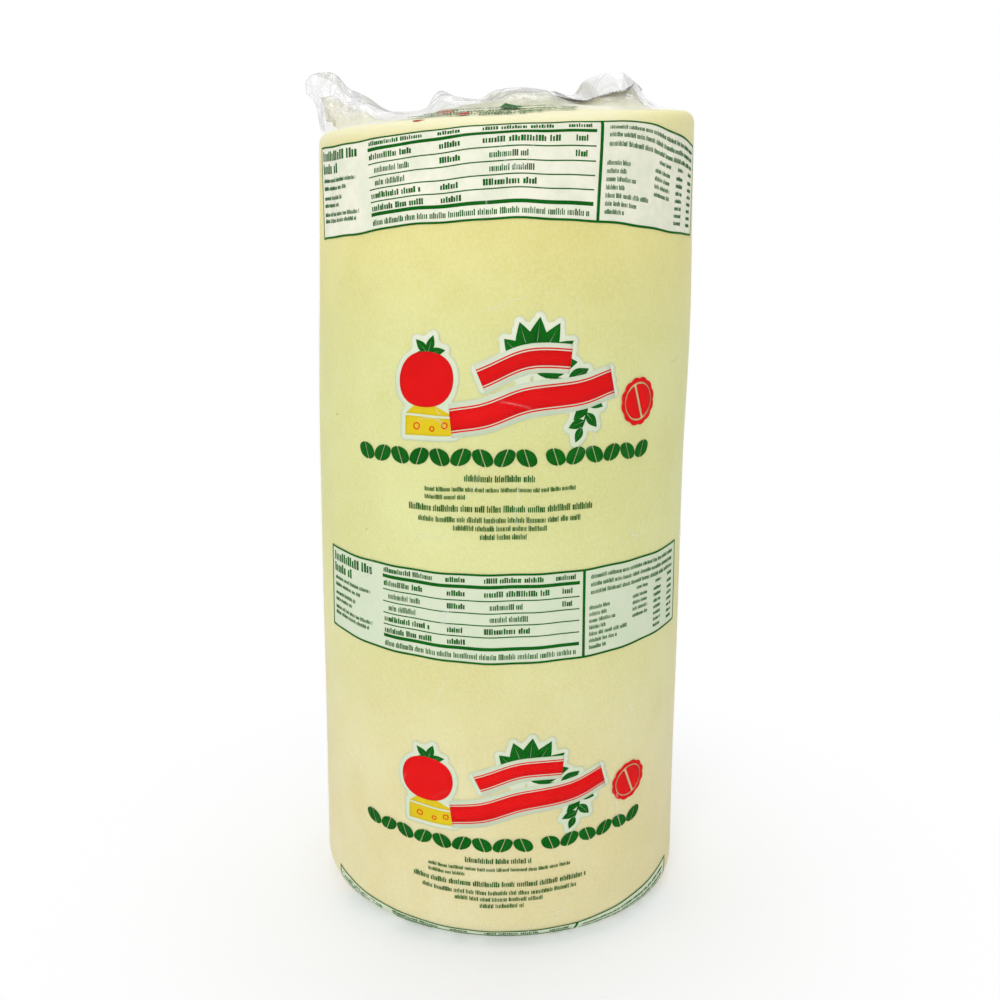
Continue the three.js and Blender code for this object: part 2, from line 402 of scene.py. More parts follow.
def crest_point(share):
    """Point of the crest at a share of its run: a smooth curve through CREST."""
    return through(CREST, np.clip(share, 0, 1) * (len(CREST) - 1)) - np.array([0, 0, CREST_DROP])


def ear_share(angle):
    """Where an angle lies between the ears: -1 at the left, 0 in front and behind, 1 at the right."""
    return np.where(angle <= RIGHT_ANGLE, angle / RIGHT_ANGLE, 2 - angle / RIGHT_ANGLE)


def crown_edge(angle):
    """Distance at which the film leaves the top: a circle, drawn out at both ears."""
    share = ear_share(angle)
    left = LEFT_REACH * smooth(-share, *LEFT_EAR)
    return CROWN_RADIUS + left + RIGHT_REACH * smooth(share, *RIGHT_EAR)


def above_top(angle, distance):
    """The top's point at an angle and a distance from its middle."""
    x = lean(HEIGHT) + distance * np.sin(angle)
    y = -distance * np.cos(angle)
    return np.stack([x, y, top_face(x, y)], axis=-1)


def ridges(x):
    """A wave of straight flanks and sharp ridges, from 0 to 1, that repeats each whole number."""
    return np.abs(2 * (x - np.floor(x + 0.5)))


def folds(along, up, first, count):
    """Sets of ridges, each finer than the last and turned by the golden angle, weighted by length.
    The weights are taken against the main sets, so finer sets only add to them."""
    total = 0
    for k in range(first, first + count):
        length = FOLD_LENGTH * FOLD_RATIO**k
        phase = (along * math.cos(GOLDEN_TURN * k) + up * math.sin(GOLDEN_TURN * k)) / length
        wave = ridges(phase + GOLDEN_STEP * k)
        total = total + length * (wave if first == 0 else wave - 0.5)
    return total / sum(FOLD_LENGTH * FOLD_RATIO**k for k in range(FOLD_COUNT))


def wall_climb(angle, up):
    """Climb of the crown between the ears, from 0 to 1: low over the top, up a steep wall whose place
    wanders with the angle and lies near the crest under the seam's flap, and slowly up to the crest."""
    wander = sum(share * np.sin(turns * angle + start) for share, turns, start in WALL_WANDER)
    share = ear_share(angle)
    near = smooth(share, *FLAP_FROM) * (1 - smooth(share, *FLAP_TO))
    start = mix(WALL_FROM, FLAP_WALL_FROM, near)
    end = mix(WALL_TO, FLAP_WALL_TO, near)
    place = up + wander * (1 - near) * up * (1 - up) * 4
    wall = smooth((place - start) / (end - start), 0, 1)
    return WALL_SHARE * wall + (1 - WALL_SHARE) * up**CREST_POWER


def crown_point(angle, up):
    """A point of the crown at an angle and a way up from the edge (0) to the crest (1). On the plan
    it goes straight to the crest. It climbs as wall_climb says, and at the ears with a power of the
    way. The folds lift it outwards on the wall and upwards elsewhere."""
    share = ear_share(angle)
    left_ear = np.maximum(-share, 0) ** EAR_POWER
    right_ear = np.maximum(share, 0) ** EAR_POWER
    top = crest_point((share + 1) / 2)
    inwards = mix(up, smooth(up, *EAR_FLARE), left_ear)
    edge = above_top(angle, crown_edge(angle))
    point = mix(edge, top, inwards[..., None])
    low = top_face(point[..., 0], point[..., 1])
    body = CROWN_BODY * (1 - (1 - up) ** BODY_POWER)
    ear_power = np.where(share < 0, LEFT_RISE_POWER, RIGHT_RISE_POWER)
    climb = mix(wall_climb(angle, up), up**ear_power, left_ear + right_ear)
    calm = 1 - np.abs(share) ** CALM_POWER
    large = np.maximum(calm, EAR_FOLDS)
    room = np.sin(np.pi * up) ** FOLDS_END_POWER * smooth(up, *FOLDS_SET_IN)
    along = RADIUS * share * RIGHT_ANGLE
    upwards = np.linalg.norm(top - edge, axis=-1) * up
    sway_up, length_up, slant = SWAY_UP
    sway_along, length_along = SWAY_ALONG
    sway = sway_up * np.sin(upwards / length_up + slant * along) + sway_along * np.sin(along / length_along)
    wave = folds(along, upwards, 0, FOLD_COUNT) - FOLD_MIDDLE
    fine = folds(along + sway, upwards - sway, FOLD_COUNT, CREASE_COUNT)
    depth = FOLD_SHARE * (top[..., 2] - low) * room
    lift = depth * (wave * large + CREASE_SHARE * fine * mix(EAR_CREASES, 1, calm))
    steep = RIGHT_ANGLE * smooth(up, STEEP_FROM, WALL_FROM)
    z = mix(low + body, top[..., 2], climb) + lift * np.cos(steep) * (1 - climb)
    y = point[..., 1] + np.where(angle <= RIGHT_ANGLE, -1, 1) * lift * np.sin(steep)
    lowest = top_face(point[..., 0], y) + CROWN_GAP * up
    return np.stack([point[..., 0], y, np.maximum(z, lowest)], axis=-1)


# ---------------------------------------------------------------- the film as one sheet


def film_lengths(angle):
    """Lengths of the film's five stretches at an angle: under the foot, round it, up the side, over
    the rim and from there to the crest."""
    rounding = foot_rounding(angle)
    foot = side_radius(0) - rounding
    edge = crown_edge(angle)
    over_rim = rim_turn(angle, edge) * rim_rounding(angle)
    top = crest_point((ear_share(angle) + 1) / 2)
    loose = np.linalg.norm(top - above_top(angle, edge), axis=-1)
    around = RIGHT_ANGLE * rounding
    side = HEIGHT - rim_rounding(angle) - rounding
    return np.stack([foot, around, side, over_rim, loose], axis=-1)


FILM_ROWS = np.array([BOTTOM_ROWS, FOOT_ROWS, SIDE_ROWS, RIM_ROWS, CROWN_ROWS])
ROW_STARTS = np.concatenate([[0], np.cumsum(FILM_ROWS)[:-1]])


def film_starts(angle):
    """The place t on the film where each stretch starts. On the side t is the height."""
    lengths = film_lengths(angle)
    before = np.cumsum(lengths, axis=-1) - lengths
    return before + (foot_rounding(angle) - lengths[..., 0] - lengths[..., 1])[..., None], lengths


def film_row(angle, t):
    """The row of the film's grid on which a place t lies, with its fraction."""
    starts, lengths = film_starts(angle)
    ways = np.clip((t[..., None] - starts) / lengths, 0, 1)
    ways[..., 4] = np.interp(ways[..., 4], CROWN_UPS, CROWN_WAYS)
    return (ways * FILM_ROWS).sum(axis=-1)


def film_grid():
    """The film as rows by columns, with the five stretches one above the other: its points, and how
    far each has gone along each stretch."""
    angle = -RIGHT_ANGLE + TURN * np.arange(FILM_COLUMNS) / FILM_COLUMNS
    row = np.arange(FILM_ROWS.sum() + 1)
    angle, row = np.meshgrid(angle, row)
    ways = np.clip((row[..., None] - ROW_STARTS) / FILM_ROWS, 0, 1)
    ways[..., 4] = np.interp(ways[..., 4], CROWN_WAYS, CROWN_UPS)
    starts, lengths = film_starts(angle)
    t = starts[..., 0] + (ways * lengths).sum(axis=-1)
    inset = FILM_INSET + RIPPLE_DEPTH * shoulder_ripple(angle, t)
    foot_distance, foot_height = foot_arc(angle, ways[..., 1], inset)
    distance = np.where(ways[..., 1] > 0, foot_distance, ways[..., 0] * lengths[..., 0])
    height = np.where(ways[..., 1] > 0, foot_height, 0)
    height = np.where(height < FOOT_FLAT, 0, height)
    side = mix(foot_rounding(angle), HEIGHT - rim_rounding(angle), ways[..., 2])
    distance = np.where(ways[..., 2] > 0, side_radius(side) - inset, distance)
    height = np.where(ways[..., 2] > 0, side, height)
    turn = ways[..., 3] * lengths[..., 3] / rim_rounding(angle)
    rim_distance, rim_height = rim_arc(angle, turn, inset)
    distance = np.where(ways[..., 3] > 0, rim_distance, distance)
    height = np.where(ways[..., 3] > 0, rim_height, height)
    points = log_point(angle, distance, height)
    loose = crown_point(angle, ways[..., 4])
    share = smooth(ways[..., 4] * lengths[..., 4], 0, JOIN_LENGTH)[..., None]
    return np.where(ways[..., 4:] > 0, mix(points, loose, share), points), ways


def shoulder_ripple(angle, t):
    """Small upright ripples of the film under the rim, from -1 to 1, that fade out downwards."""
    window = smooth(t, *RIPPLES_FROM) * (1 - smooth(t, *RIPPLES_TO))
    wave = sum(np.sin(turns * angle + slant * t + start) for turns, slant, start in RIPPLES)
    return 0.5 * wave * window


def grid_normals(points):
    """Outward normals of a film grid, from the differences between neighbours."""
    across = np.roll(points, -1, axis=1) - np.roll(points, 1, axis=1)
    up = np.gradient(points, axis=0)
    normals = np.cross(across, up)
    return normals / np.maximum(np.linalg.norm(normals, axis=-1, keepdims=True), 1e-9)


def crease_mask(points, normals, loose):
    """How sharply the film is creased, from 0 to 1: each point's distance from the mean of its
    neighbours along its normal, against SHARP_BEND."""
    middle = np.zeros_like(points)
    middle[1:-1] = (
        points[2:] + points[:-2] + np.roll(points, 1, axis=1)[1:-1] + np.roll(points, -1, axis=1)[1:-1]
    ) / 4 - points[1:-1]
    bend = np.abs((middle * normals).sum(axis=-1))
    return np.clip(bend / SHARP_BEND, 0, 1) * loose


SHORT_OF_LAST = 0.001  # so that each place has a next row


class Film:
    """The film's grid, its normals and masks, computed once and read by the film and the print."""

    def __init__(self):
        self.points, ways = film_grid()
        self.normals = grid_normals(self.points)
        self.normals[:FOOT_FLAT_ROWS] = (0, 0, -1)
        stands = self.points[..., 2] - top_face(self.points[..., 0], self.points[..., 1])
        self.loose = smooth(stands, *LOOSE_HEIGHTS) * smooth(ways[..., 4], *LOOSE_WAYS)
        self.crease = crease_mask(self.points, self.normals, self.loose)

    def at(self, angle, t, depth):
        """Points under the film at an angle and place t, by bilinear steps between grid points, and
        whether they lie below the crest."""
        angle = (angle + RIGHT_ANGLE) % TURN - RIGHT_ANGLE
        column = (angle + RIGHT_ANGLE) / TURN * FILM_COLUMNS
        last = len(self.points) - 1
        row = np.clip(film_row(angle, t), 0, last - SHORT_OF_LAST)
        starts, lengths = film_starts(angle)
        below = t < (starts + lengths)[..., 4] - INK_BELOW_CREST
        first_row = row.astype(int)
        first_column = column.astype(int)
        near = first_column % FILM_COLUMNS
        far = (first_column + 1) % FILM_COLUMNS
        across = (column - first_column)[..., None]
        up = (row - first_row)[..., None]

        def between(values):
            low = mix(values[first_row, near], values[first_row, far], across)
            high = mix(values[first_row + 1, near], values[first_row + 1, far], across)
            return mix(low, high, up)

        return between(self.points) - np.asarray(depth)[..., None] * between(self.normals), below


FILM = Film()


# ---------------------------------------------------------------- meshes


def link_mesh(name, points, faces, triangles=None):
    """Makes a smooth-shaded mesh object at the origin from points in millimetres and its faces."""
    mesh = bpy.data.meshes.new(name)
    polygons = [faces] if triangles is None else [faces, triangles]
    corners = np.concatenate([f.ravel() for f in polygons]).astype(np.int32)
    sizes = np.concatenate([np.full(len(f), f.shape[1]) for f in polygons]).astype(np.int32)
    mesh.vertices.add(len(points))
    mesh.vertices.foreach_set("co", (np.asarray(points) * MM).astype(np.float32).ravel())
    mesh.loops.add(len(corners))
    mesh.loops.foreach_set("vertex_index", corners)
    mesh.polygons.add(len(sizes))
    starts = np.concatenate([[0], np.cumsum(sizes)[:-1]]).astype(np.int32)
    mesh.polygons.foreach_set("loop_start", starts)
    mesh.polygons.foreach_set("loop_total", sizes)
    mesh.polygons.foreach_set("use_smooth", np.ones(len(sizes), bool))
    mesh.update(calc_edges=True)
    if mesh.validate():
        raise RuntimeError(f"{name} has faulty faces")
    made = bpy.data.objects.new(name, mesh)
    bpy.context.scene.collection.objects.link(made)
    return made


def add_attribute(made, name, values):
    """Gives each point of a piece a number that its material reads."""
    attribute = made.data.attributes.new(name, "FLOAT", "POINT")
    attribute.data.foreach_set("value", np.asarray(values, np.float32).ravel())


def grid_quads(numbers, wrap):
    """Quads between the rows of a table of point numbers. With wrap the last column meets the first."""
    if wrap:
        numbers = np.hstack([numbers, numbers[:, :1]])
    a, b, c, d = numbers[:-1, :-1], numbers[:-1, 1:], numbers[1:, 1:], numbers[1:, :-1]
    return np.stack([a, b, c, d], axis=-1).reshape(-1, 4)


def fan(ring, middle, upwards):
    """Triangles between a ring of point numbers and one middle point."""
    following = np.roll(ring, -1)
    middles = np.full(len(ring), middle)
    if upwards:
        return np.stack([ring, following, middles], axis=-1)
    return np.stack([following, ring, middles], axis=-1)


def fold_shut(grid, middle):
    """The values of a ring-shaped grid whose last row is folded shut along the crest, where the front
    half and the rear half share their points, and last the value of the foot's middle."""
    half = grid.shape[1] // 2
    return np.concatenate([grid[:-1].reshape(-1, *grid.shape[2:]), grid[-1, : half + 1], middle])


def folded_shell(name, grid, middle):
    """A closed skin from a ring-shaped grid that is folded shut along the crest and fanned at the foot."""
    rows, columns = grid.shape[:2]
    numbers = np.arange((rows - 1) * columns).reshape(rows - 1, columns)
    column = np.arange(columns)
    crest = numbers.size + np.where(column <= columns // 2, column, columns - column)
    numbers = np.vstack([numbers, crest])
    points = fold_shut(grid, middle)
    return link_mesh(name, points, grid_quads(numbers, True), fan(numbers[0], len(points) - 1, False))


def closed_slab(outer, inner, quads):
    """A thin closed sheet: an outer skin, an inner one turned round, and a wall along each edge that
    belongs to one quad only. Points that no quad uses are left out."""
    used, quads = np.unique(quads, return_inverse=True)
    quads = quads.reshape(-1, 4)
    count = len(used)
    start = quads.ravel()
    end = np.roll(quads, -1, axis=1).ravel()
    edge = np.minimum(start, end) * count + np.maximum(start, end)
    _, first, times = np.unique(edge, return_index=True, return_counts=True)
    rim = first[times == 1]
    walls = np.stack([end[rim], start[rim], start[rim] + count, end[rim] + count], axis=-1)
    return np.vstack([outer[used], inner[used]]), np.vstack([quads, quads[:, ::-1] + count, walls])


def add_piece(made, slot, *nodes):
    """Puts a piece on the body and hides the solids that it stands for. Its slot is not used."""
    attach(made, BODY)
    if nodes:
        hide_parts(*nodes)


def remove_old(*names):
    """Removes pieces of an earlier build."""
    for name in names:
        if name in bpy.data.objects:
            bpy.data.objects.remove(bpy.data.objects[name])


def check_inside(made):
    """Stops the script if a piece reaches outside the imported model's box."""
    points = np.empty(3 * len(made.data.vertices), np.float32)
    made.data.vertices.foreach_get("co", points)
    points = points.reshape(-1, 3)
    low, high = np.array(CAD_BOX)
    if (points.min(0) < low - BOX_SLACK).any() or (points.max(0) > high + BOX_SLACK).any():
        raise RuntimeError(f"{made.name} reaches outside the packed model: {points.min(0)} {points.max(0)}")


# ---------------------------------------------------------------- shader helpers


class Nodes:
    """Adds shader nodes to a tree, links them and sets their plain values."""

    def __init__(self, tree):
        self.tree = tree

    def put(self, value, socket):
        """Feeds an input from another node's output, or sets a plain value on it."""
        if isinstance(value, bpy.types.NodeSocket):
            self.tree.links.new(value, socket)
        else:
            socket.default_value = value

    def add(self, kind, inputs=None, **settings):
        node = self.tree.nodes.new(kind)
        for name, value in settings.items():
            setattr(node, name, value)
        for name, value in (inputs or {}).items():
            self.put(value, node.inputs[name])
        return node

    def math(self, operation, first, second=0.5, third=0.5, clamp=False):
        inputs = {0: first, 1: second, 2: third}
        return self.add("ShaderNodeMath", inputs, operation=operation, use_clamp=clamp).outputs[0]

    def remap(self, value, low, high, to_low=0.0, to_high=1.0):
        inputs = {"Value": value, "From Min": low, "From Max": high, "To Min": to_low, "To Max": to_high}
        return self.add("ShaderNodeMapRange", inputs, interpolation_type="SMOOTHSTEP").outputs["Result"]

    def colour_mix(self, share, first, second):
        """A colour between two. The node has a like-named input for each kind of value, so those for
        colours are reached by their numbers."""
        return self.add("ShaderNodeMix", {0: share, 6: first, 7: second}, data_type="RGBA").outputs[2]

    def noise(self, vector, scale, detail=2.0, roughness=0.5, distortion=0.0):
        inputs = {"Vector": vector, "Scale": scale, "Detail": detail, "Roughness": roughness}
        return self.add("ShaderNodeTexNoise", {**inputs, "Distortion": distortion}).outputs["Fac"]

    def axis(self, vector, name):
        """One coordinate of a vector: X, Y or Z."""
        return self.add("ShaderNodeSeparateXYZ", {0: vector}).outputs[name]

    def attribute(self, name):
        """A number that each point of the piece carries."""
        return self.add("ShaderNodeAttribute", attribute_name=name).outputs["Fac"]

    def group(self, name, **inputs):
        """Places one of the shared groups with its own values and gives its outputs."""
        return self.add("ShaderNodeGroup", inputs, node_tree=shared_group(name)).outputs


def fill_clouds(nodes, given, result):
    """Large soft clouds with smaller ones in them, from 0 to 1."""
    large = nodes.noise(given["Vector"], given["Scale"], detail=2.5, roughness=0.55)
    small = nodes.noise(given["Vector"], nodes.math("MULTIPLY", given["Scale"], 3.7), detail=3.0)
    both = nodes.math("MULTIPLY_ADD", small, 0.3, nodes.math("MULTIPLY", large, 0.7))
    nodes.put(nodes.remap(both, 0.33, 0.67), result["Cloud"])


def fill_grain(nodes, given, result):
    """Fine grain from 0 to 1, and rare pinholes as a mask: small discs in a few cells."""
    nodes.put(nodes.noise(given["Vector"], given["Scale"], detail=3.0, roughness=0.65), result["Grain"])
    cell_scale = nodes.math("MULTIPLY", given["Scale"], 0.09)
    spots = nodes.add("ShaderNodeTexVoronoi", {"Vector": given["Vector"], "Scale": cell_scale})
    draw = nodes.add("ShaderNodeSeparateColor", {0: spots.outputs["Color"]}).outputs[0]
    size = nodes.math("MULTIPLY", nodes.remap(draw, 0.86, 1.0), 0.035)
    nodes.put(nodes.math("LESS_THAN", spots.outputs["Distance"], size), result["Pinholes"])


def fill_wrinkles(nodes, given, result):
    """Sparse thin wrinkle lines: places where slow noise crosses its middle, kept in a few patches."""
    slow = nodes.noise(given["Vector"], given["Scale"], detail=1.5, distortion=0.6)
    away = nodes.math("ABSOLUTE", nodes.math("SUBTRACT", slow, 0.5))
    line = nodes.math("SUBTRACT", 1.0, nodes.math("DIVIDE", away, given["Width"]), clamp=True)
    patch = nodes.noise(given["Vector"], nodes.math("MULTIPLY", given["Scale"], 1.9), detail=1.0)
    nodes.put(nodes.math("MULTIPLY", line, nodes.remap(patch, 0.56, 0.7)), result["Line"])


def fill_crumple(nodes, given, result):
    """Folds of loose film from two sizes of slow noise. Where the noise crosses its middle there is a ridge:
    as relief, as thin light lines along it, which are partly painted highlights, and as bands of painted
    shade beside it, each from 0 to 1."""
    small_scale = nodes.math("MULTIPLY", given["Scale"], 2.3)
    large = nodes.noise(given["Vector"], given["Scale"], detail=0.0, distortion=1.3)
    small = nodes.noise(given["Vector"], small_scale, detail=0.0, distortion=0.9)
    far = nodes.math("ABSOLUTE", nodes.math("SUBTRACT", large, 0.5))
    far_small = nodes.math("ABSOLUTE", nodes.math("SUBTRACT", small, 0.5))
    both = nodes.math("MULTIPLY_ADD", far_small, 0.22, far)
    relief = nodes.math("SUBTRACT", 1.0, nodes.math("MULTIPLY", both, 3.5), clamp=True)
    line = nodes.math("SUBTRACT", 1.0, nodes.math("DIVIDE", far, 0.014), clamp=True)
    fine = nodes.math("SUBTRACT", 0.3, nodes.math("DIVIDE", far_small, 0.03), clamp=True)
    beside = nodes.math("ABSOLUTE", nodes.math("SUBTRACT", far, 0.05))
    band = nodes.math("SUBTRACT", 1.0, nodes.math("DIVIDE", beside, 0.04), clamp=True)
    nodes.put(relief, result["Relief"])
    nodes.put(nodes.math("MAXIMUM", line, fine), result["Line"])
    nodes.put(band, result["Band"])


SHARED_GROUPS = {  # how each is filled, its numbers with their defaults, and what it puts out
    "soft clouds": (fill_clouds, {"Scale": 30.0}, ("Cloud",)),
    "fine grain": (fill_grain, {"Scale": 900.0}, ("Grain", "Pinholes")),
    "thin wrinkles": (fill_wrinkles, {"Scale": 20.0, "Width": 0.006}, ("Line",)),
    "crumpled film": (fill_crumple, {"Scale": 60.0}, ("Relief", "Line", "Band")),
}


def shared_group(name):
    """One of the shared groups, built on its first use: it takes a vector and numbers, gives numbers."""
    if name in bpy.data.node_groups:
        return bpy.data.node_groups[name]
    fill, numbers, results = SHARED_GROUPS[name]
    tree = bpy.data.node_groups.new(name, "ShaderNodeTree")
    tree.interface.new_socket("Vector", in_out="INPUT", socket_type="NodeSocketVector")
    for title, default in numbers.items():
        socket = tree.interface.new_socket(title, in_out="INPUT", socket_type="NodeSocketFloat")
        socket.default_value = default
    for title in results:
        tree.interface.new_socket(title, in_out="OUTPUT", socket_type="NodeSocketFloat")
    nodes = Nodes(tree)
    fill(nodes, nodes.add("NodeGroupInput").outputs, nodes.add("NodeGroupOutput").inputs)
    return tree


def object_vector(nodes):
    """The place in the object, in metres, that all patterns follow."""
    return nodes.add("ShaderNodeTexCoord").outputs["Object"]


def new_material(name):
    """An empty material, its node helper and its output socket."""
    material = bpy.data.materials.new(name)
    material.use_nodes = True
    material.node_tree.nodes.clear()
    nodes = Nodes(material.node_tree)
    return material, nodes, nodes.add("ShaderNodeOutputMaterial").inputs["Surface"]


# Heights and sideways places on the cheese, in metres, between which its colours change
MIDDLE_HEIGHTS = (0.03, 0.17)
UPPER_HEIGHTS = (0.21, 0.285)
# The paler rim colour is a painted highlight along the rim, weaker at the right.
RIM_HIGHLIGHT_HEIGHTS = (0.29, 0.301)
RIM_HIGHLIGHT_RIGHT = (0.025, 0.06)
LUMPS_LEFT = (-0.056, -0.02)  # the lumps grow stronger from left to right
LUMPS_LIT_UNDER_FLAP = (0.02, 0.032)  # fade here, which paints the gathered cheese lighter where the flap's shadow falls
LUMPS_RIGHT = (0.036, 0.045)  # and come back in part here
WHITE = (1, 1, 1, 1)
GRAIN_COLOUR = (1.0, 0.97, 0.75, 1)
PINHOLE_COLOUR = (0.2, 0.14, 0.03, 1)


def lump_and_shade_share(nodes, vector, aside):
    """How strongly the pressed lumps show, by clouds and by the place from left to right. Their deeper
    colour is partly painted shade of the film's folds, and they fade under the flap as painted light where
    its shadow falls.
    """
    lumps = nodes.group("soft clouds", Vector=vector, Scale=75.0)["Cloud"]
    lumps = nodes.math("MULTIPLY_ADD", lumps, 0.5, 0.5)
    lumps = nodes.math("MULTIPLY", lumps, nodes.remap(aside, *LUMPS_LEFT, 0.25, 1.0))
    lighter_under_flap = nodes.remap(aside, *LUMPS_LIT_UNDER_FLAP, 1.0, 0.2)
    returning = nodes.remap(aside, *LUMPS_RIGHT, 0.0, 0.45)
    return nodes.math("MULTIPLY", lumps, nodes.math("ADD", lighter_under_flap, returning))


def cheese_material(settings):
    """Smooth young cheese: pale yellow with soft darker clouds, fine grain and a few pinholes, paler on the
    rim as a painted highlight that is weaker at the right, and with grey-green lumps where it is gathered,
    whose deeper colour is partly painted shade of the film's folds and which fade under the flap as painted
    light where its shadow falls."""
    material, nodes, surface = new_material("young_cheese")
    vector = object_vector(nodes)
    cloud = nodes.group("soft clouds", Vector=vector, Scale=18.0)["Cloud"]
    grain = nodes.group("fine grain", Vector=vector, Scale=900.0)
    height = nodes.axis(vector, "Z")
    aside = nodes.axis(vector, "X")
    middle = nodes.remap(height, *MIDDLE_HEIGHTS)
    upper = nodes.remap(height, *UPPER_HEIGHTS)
    pale = nodes.colour_mix(middle, settings.low_pale, settings.middle_pale)
    deep = nodes.colour_mix(middle, settings.low_deep, settings.middle_deep)
    pale = nodes.colour_mix(upper, pale, settings.pale)
    deep = nodes.colour_mix(upper, deep, settings.deep)
    base = nodes.colour_mix(cloud, pale, deep)
    # Painted highlight: the rim is painted paler, less so at the right.
    rim = nodes.colour_mix(nodes.remap(aside, *RIM_HIGHLIGHT_RIGHT), settings.rim, settings.rim_right_highlight)
    base = nodes.colour_mix(nodes.remap(height, *RIM_HIGHLIGHT_HEIGHTS, 0.0, 0.9), base, rim)
    base = nodes.colour_mix(nodes.remap(grain["Grain"], 0.3, 0.75, 0.0, 0.16), base, GRAIN_COLOUR)
    base = nodes.colour_mix(nodes.math("MULTIPLY", grain["Pinholes"], 0.6), base, PINHOLE_COLOUR)
    # Painted light and shade in the crown: the lumps' deeper colour is partly shade of the folds, and they
    # fade where the flap's shadow falls.
    lumps = lump_and_shade_share(nodes, vector, aside)
    pressed = nodes.colour_mix(lumps, settings.gathered, settings.gathered_shade)
    base = nodes.colour_mix(nodes.attribute("gathered"), base, pressed)
    relief = nodes.math("MULTIPLY_ADD", grain["Grain"], 0.12, cloud)
    bump = nodes.add("ShaderNodeBump", {"Height": relief, "Strength": 0.25, "Distance": 0.0004})
    shader = nodes.add(
        "ShaderNodeBsdfPrincipled",
        {
            "Base Color": base,
            "Roughness": 0.55,
            "Specular IOR Level": 0.12,
            "Subsurface Weight": 0.25,
            "Subsurface Radius": (1.0, 0.75, 0.35),
            "Subsurface Scale": 0.004,
            "Normal": bump.outputs["Normal"],
        },
    )
    nodes.put(shader.outputs[0], surface)
    return material


INK_UPPER_HEIGHTS = (0.2, 0.27)  # in metres, between which an ink turns to its colour near the top


def ink_material(name, colour, variation, blotch, blotch_share, upper=None):
    """Printed ink under the film: one colour that thins in soft blotches towards a second one, and
    with upper a third colour near the log's top."""
    material, nodes, surface = new_material(name)
    vector = object_vector(nodes)
    cloud = nodes.group("soft clouds", Vector=vector, Scale=95.0)["Cloud"]
    grain = nodes.group("fine grain", Vector=vector, Scale=1500.0)["Grain"]
    share = nodes.math("MULTIPLY_ADD", grain, variation, nodes.math("MULTIPLY", cloud, blotch_share))
    base = nodes.colour_mix(share, colour, blotch)
    if upper is not None:
        near_top = nodes.colour_mix(share, upper, colour)
        base = nodes.colour_mix(nodes.remap(nodes.axis(vector, "Z"), *INK_UPPER_HEIGHTS), base, near_top)
    bump = nodes.add("ShaderNodeBump", {"Height": grain, "Strength": 0.15, "Distance": 0.0001})
    shader = nodes.add(
        "ShaderNodeBsdfPrincipled",
        {
            "Base Color": base,
            "Roughness": 0.5,
            "Specular IOR Level": 0.02,
            "Normal": bump.outputs["Normal"],
        },
    )
    nodes.put(shader.outputs[0], surface)
    return material


def film_material(settings):
    """Thin clear film: see-through with a gloss that grows at grazing angles, greyer and crumpled where it
    is loose, with bands of painted shade beside its crumpled ridges, milky along its creases, partly as
    painted highlights, and at a few thin wrinkles on the side, and painted dark along its cut edge, as shade
    for the edge's refraction."""
    material, nodes, surface = new_material("creased_film")
    vector = object_vector(nodes)
    loose = nodes.attribute("loose")
    edge = nodes.attribute("edge")
    wrinkle = nodes.group("thin wrinkles", Vector=vector, Scale=26.0, Width=0.009)["Line"]
    crumple = nodes.group("crumpled film", Vector=vector, Scale=44.0)
    soft = nodes.noise(vector, 90.0, detail=2.0)
    side_relief = nodes.math("MULTIPLY_ADD", soft, 0.12, nodes.math("MULTIPLY", wrinkle, 0.08))
    relief = nodes.math("MULTIPLY_ADD", crumple["Relief"], loose, side_relief)
    bump = nodes.add("ShaderNodeBump", {"Height": relief, "Strength": 0.4, "Distance": 0.0015})
    normal = bump.outputs["Normal"]

    facing = nodes.add("ShaderNodeLayerWeight", {"Blend": 0.5}).outputs["Facing"]
    grazing = nodes.math("POWER", facing, nodes.remap(loose, 0.0, 1.0, 6.0, 4.0))
    base_gloss = nodes.remap(loose, 0.0, 1.0, 0.01, 0.07)
    edge_gloss = nodes.remap(loose, 0.0, 1.0, 0.07, 0.6)
    gloss_share = nodes.math("MULTIPLY_ADD", grazing, edge_gloss, base_gloss, clamp=True)
    roughness = nodes.remap(loose, 0.0, 1.0, 0.34, 0.12)
    gloss = nodes.add("ShaderNodeBsdfGlossy", {"Roughness": roughness, "Normal": normal})

    # Painted shade: the see-through tint darkens in bands beside the crumpled ridges, and also at grazing
    # angles.
    aslant = nodes.math("MULTIPLY", nodes.math("POWER", facing, 2.0), 0.28)
    dimmed = nodes.math("MULTIPLY_ADD", crumple["Band"], 0.45, aslant)
    shade = nodes.math("MULTIPLY", loose, dimmed, clamp=True)
    tint = nodes.colour_mix(shade, WHITE, settings.shade)
    clear = nodes.add("ShaderNodeBsdfTransparent", {"Color": tint})

    # Milky lines along sharp creases and crumpled ridges: partly whitened film, partly painted highlights.
    sharp = nodes.math("MAXIMUM", nodes.attribute("crease"), crumple["Line"])
    milk = nodes.math("MULTIPLY", loose, nodes.math("MULTIPLY_ADD", sharp, settings.crease_milk, 0.03))
    milk = nodes.math("MULTIPLY_ADD", wrinkle, 0.3, milk, clamp=True)
    milk = nodes.math("MAXIMUM", milk, edge)
    # Painted shade: the milky film turns grey beside the ridges.
    folded = nodes.math("MULTIPLY", crumple["Band"], 0.5)
    milk_colour = nodes.colour_mix(folded, settings.milk, settings.fold_shade_milk)
    # Painted shade along the cut edge, for its dark refraction.
    milk_colour = nodes.colour_mix(edge, milk_colour, settings.cut_edge_shade)
    white = nodes.add(
        "ShaderNodeBsdfPrincipled", {"Base Color": milk_colour, "Roughness": 0.4, "Normal": normal}
    )
    body = nodes.add("ShaderNodeMixShader", {0: milk, 1: clear.outputs[0], 2: white.outputs[0]})
    both = nodes.add("ShaderNodeMixShader", {0: gloss_share, 1: body.outputs[0], 2: gloss.outputs[0]})
    nodes.put(both.outputs[0], surface)
    return material


# ---------------------------------------------------------------- print shapes on the flat film


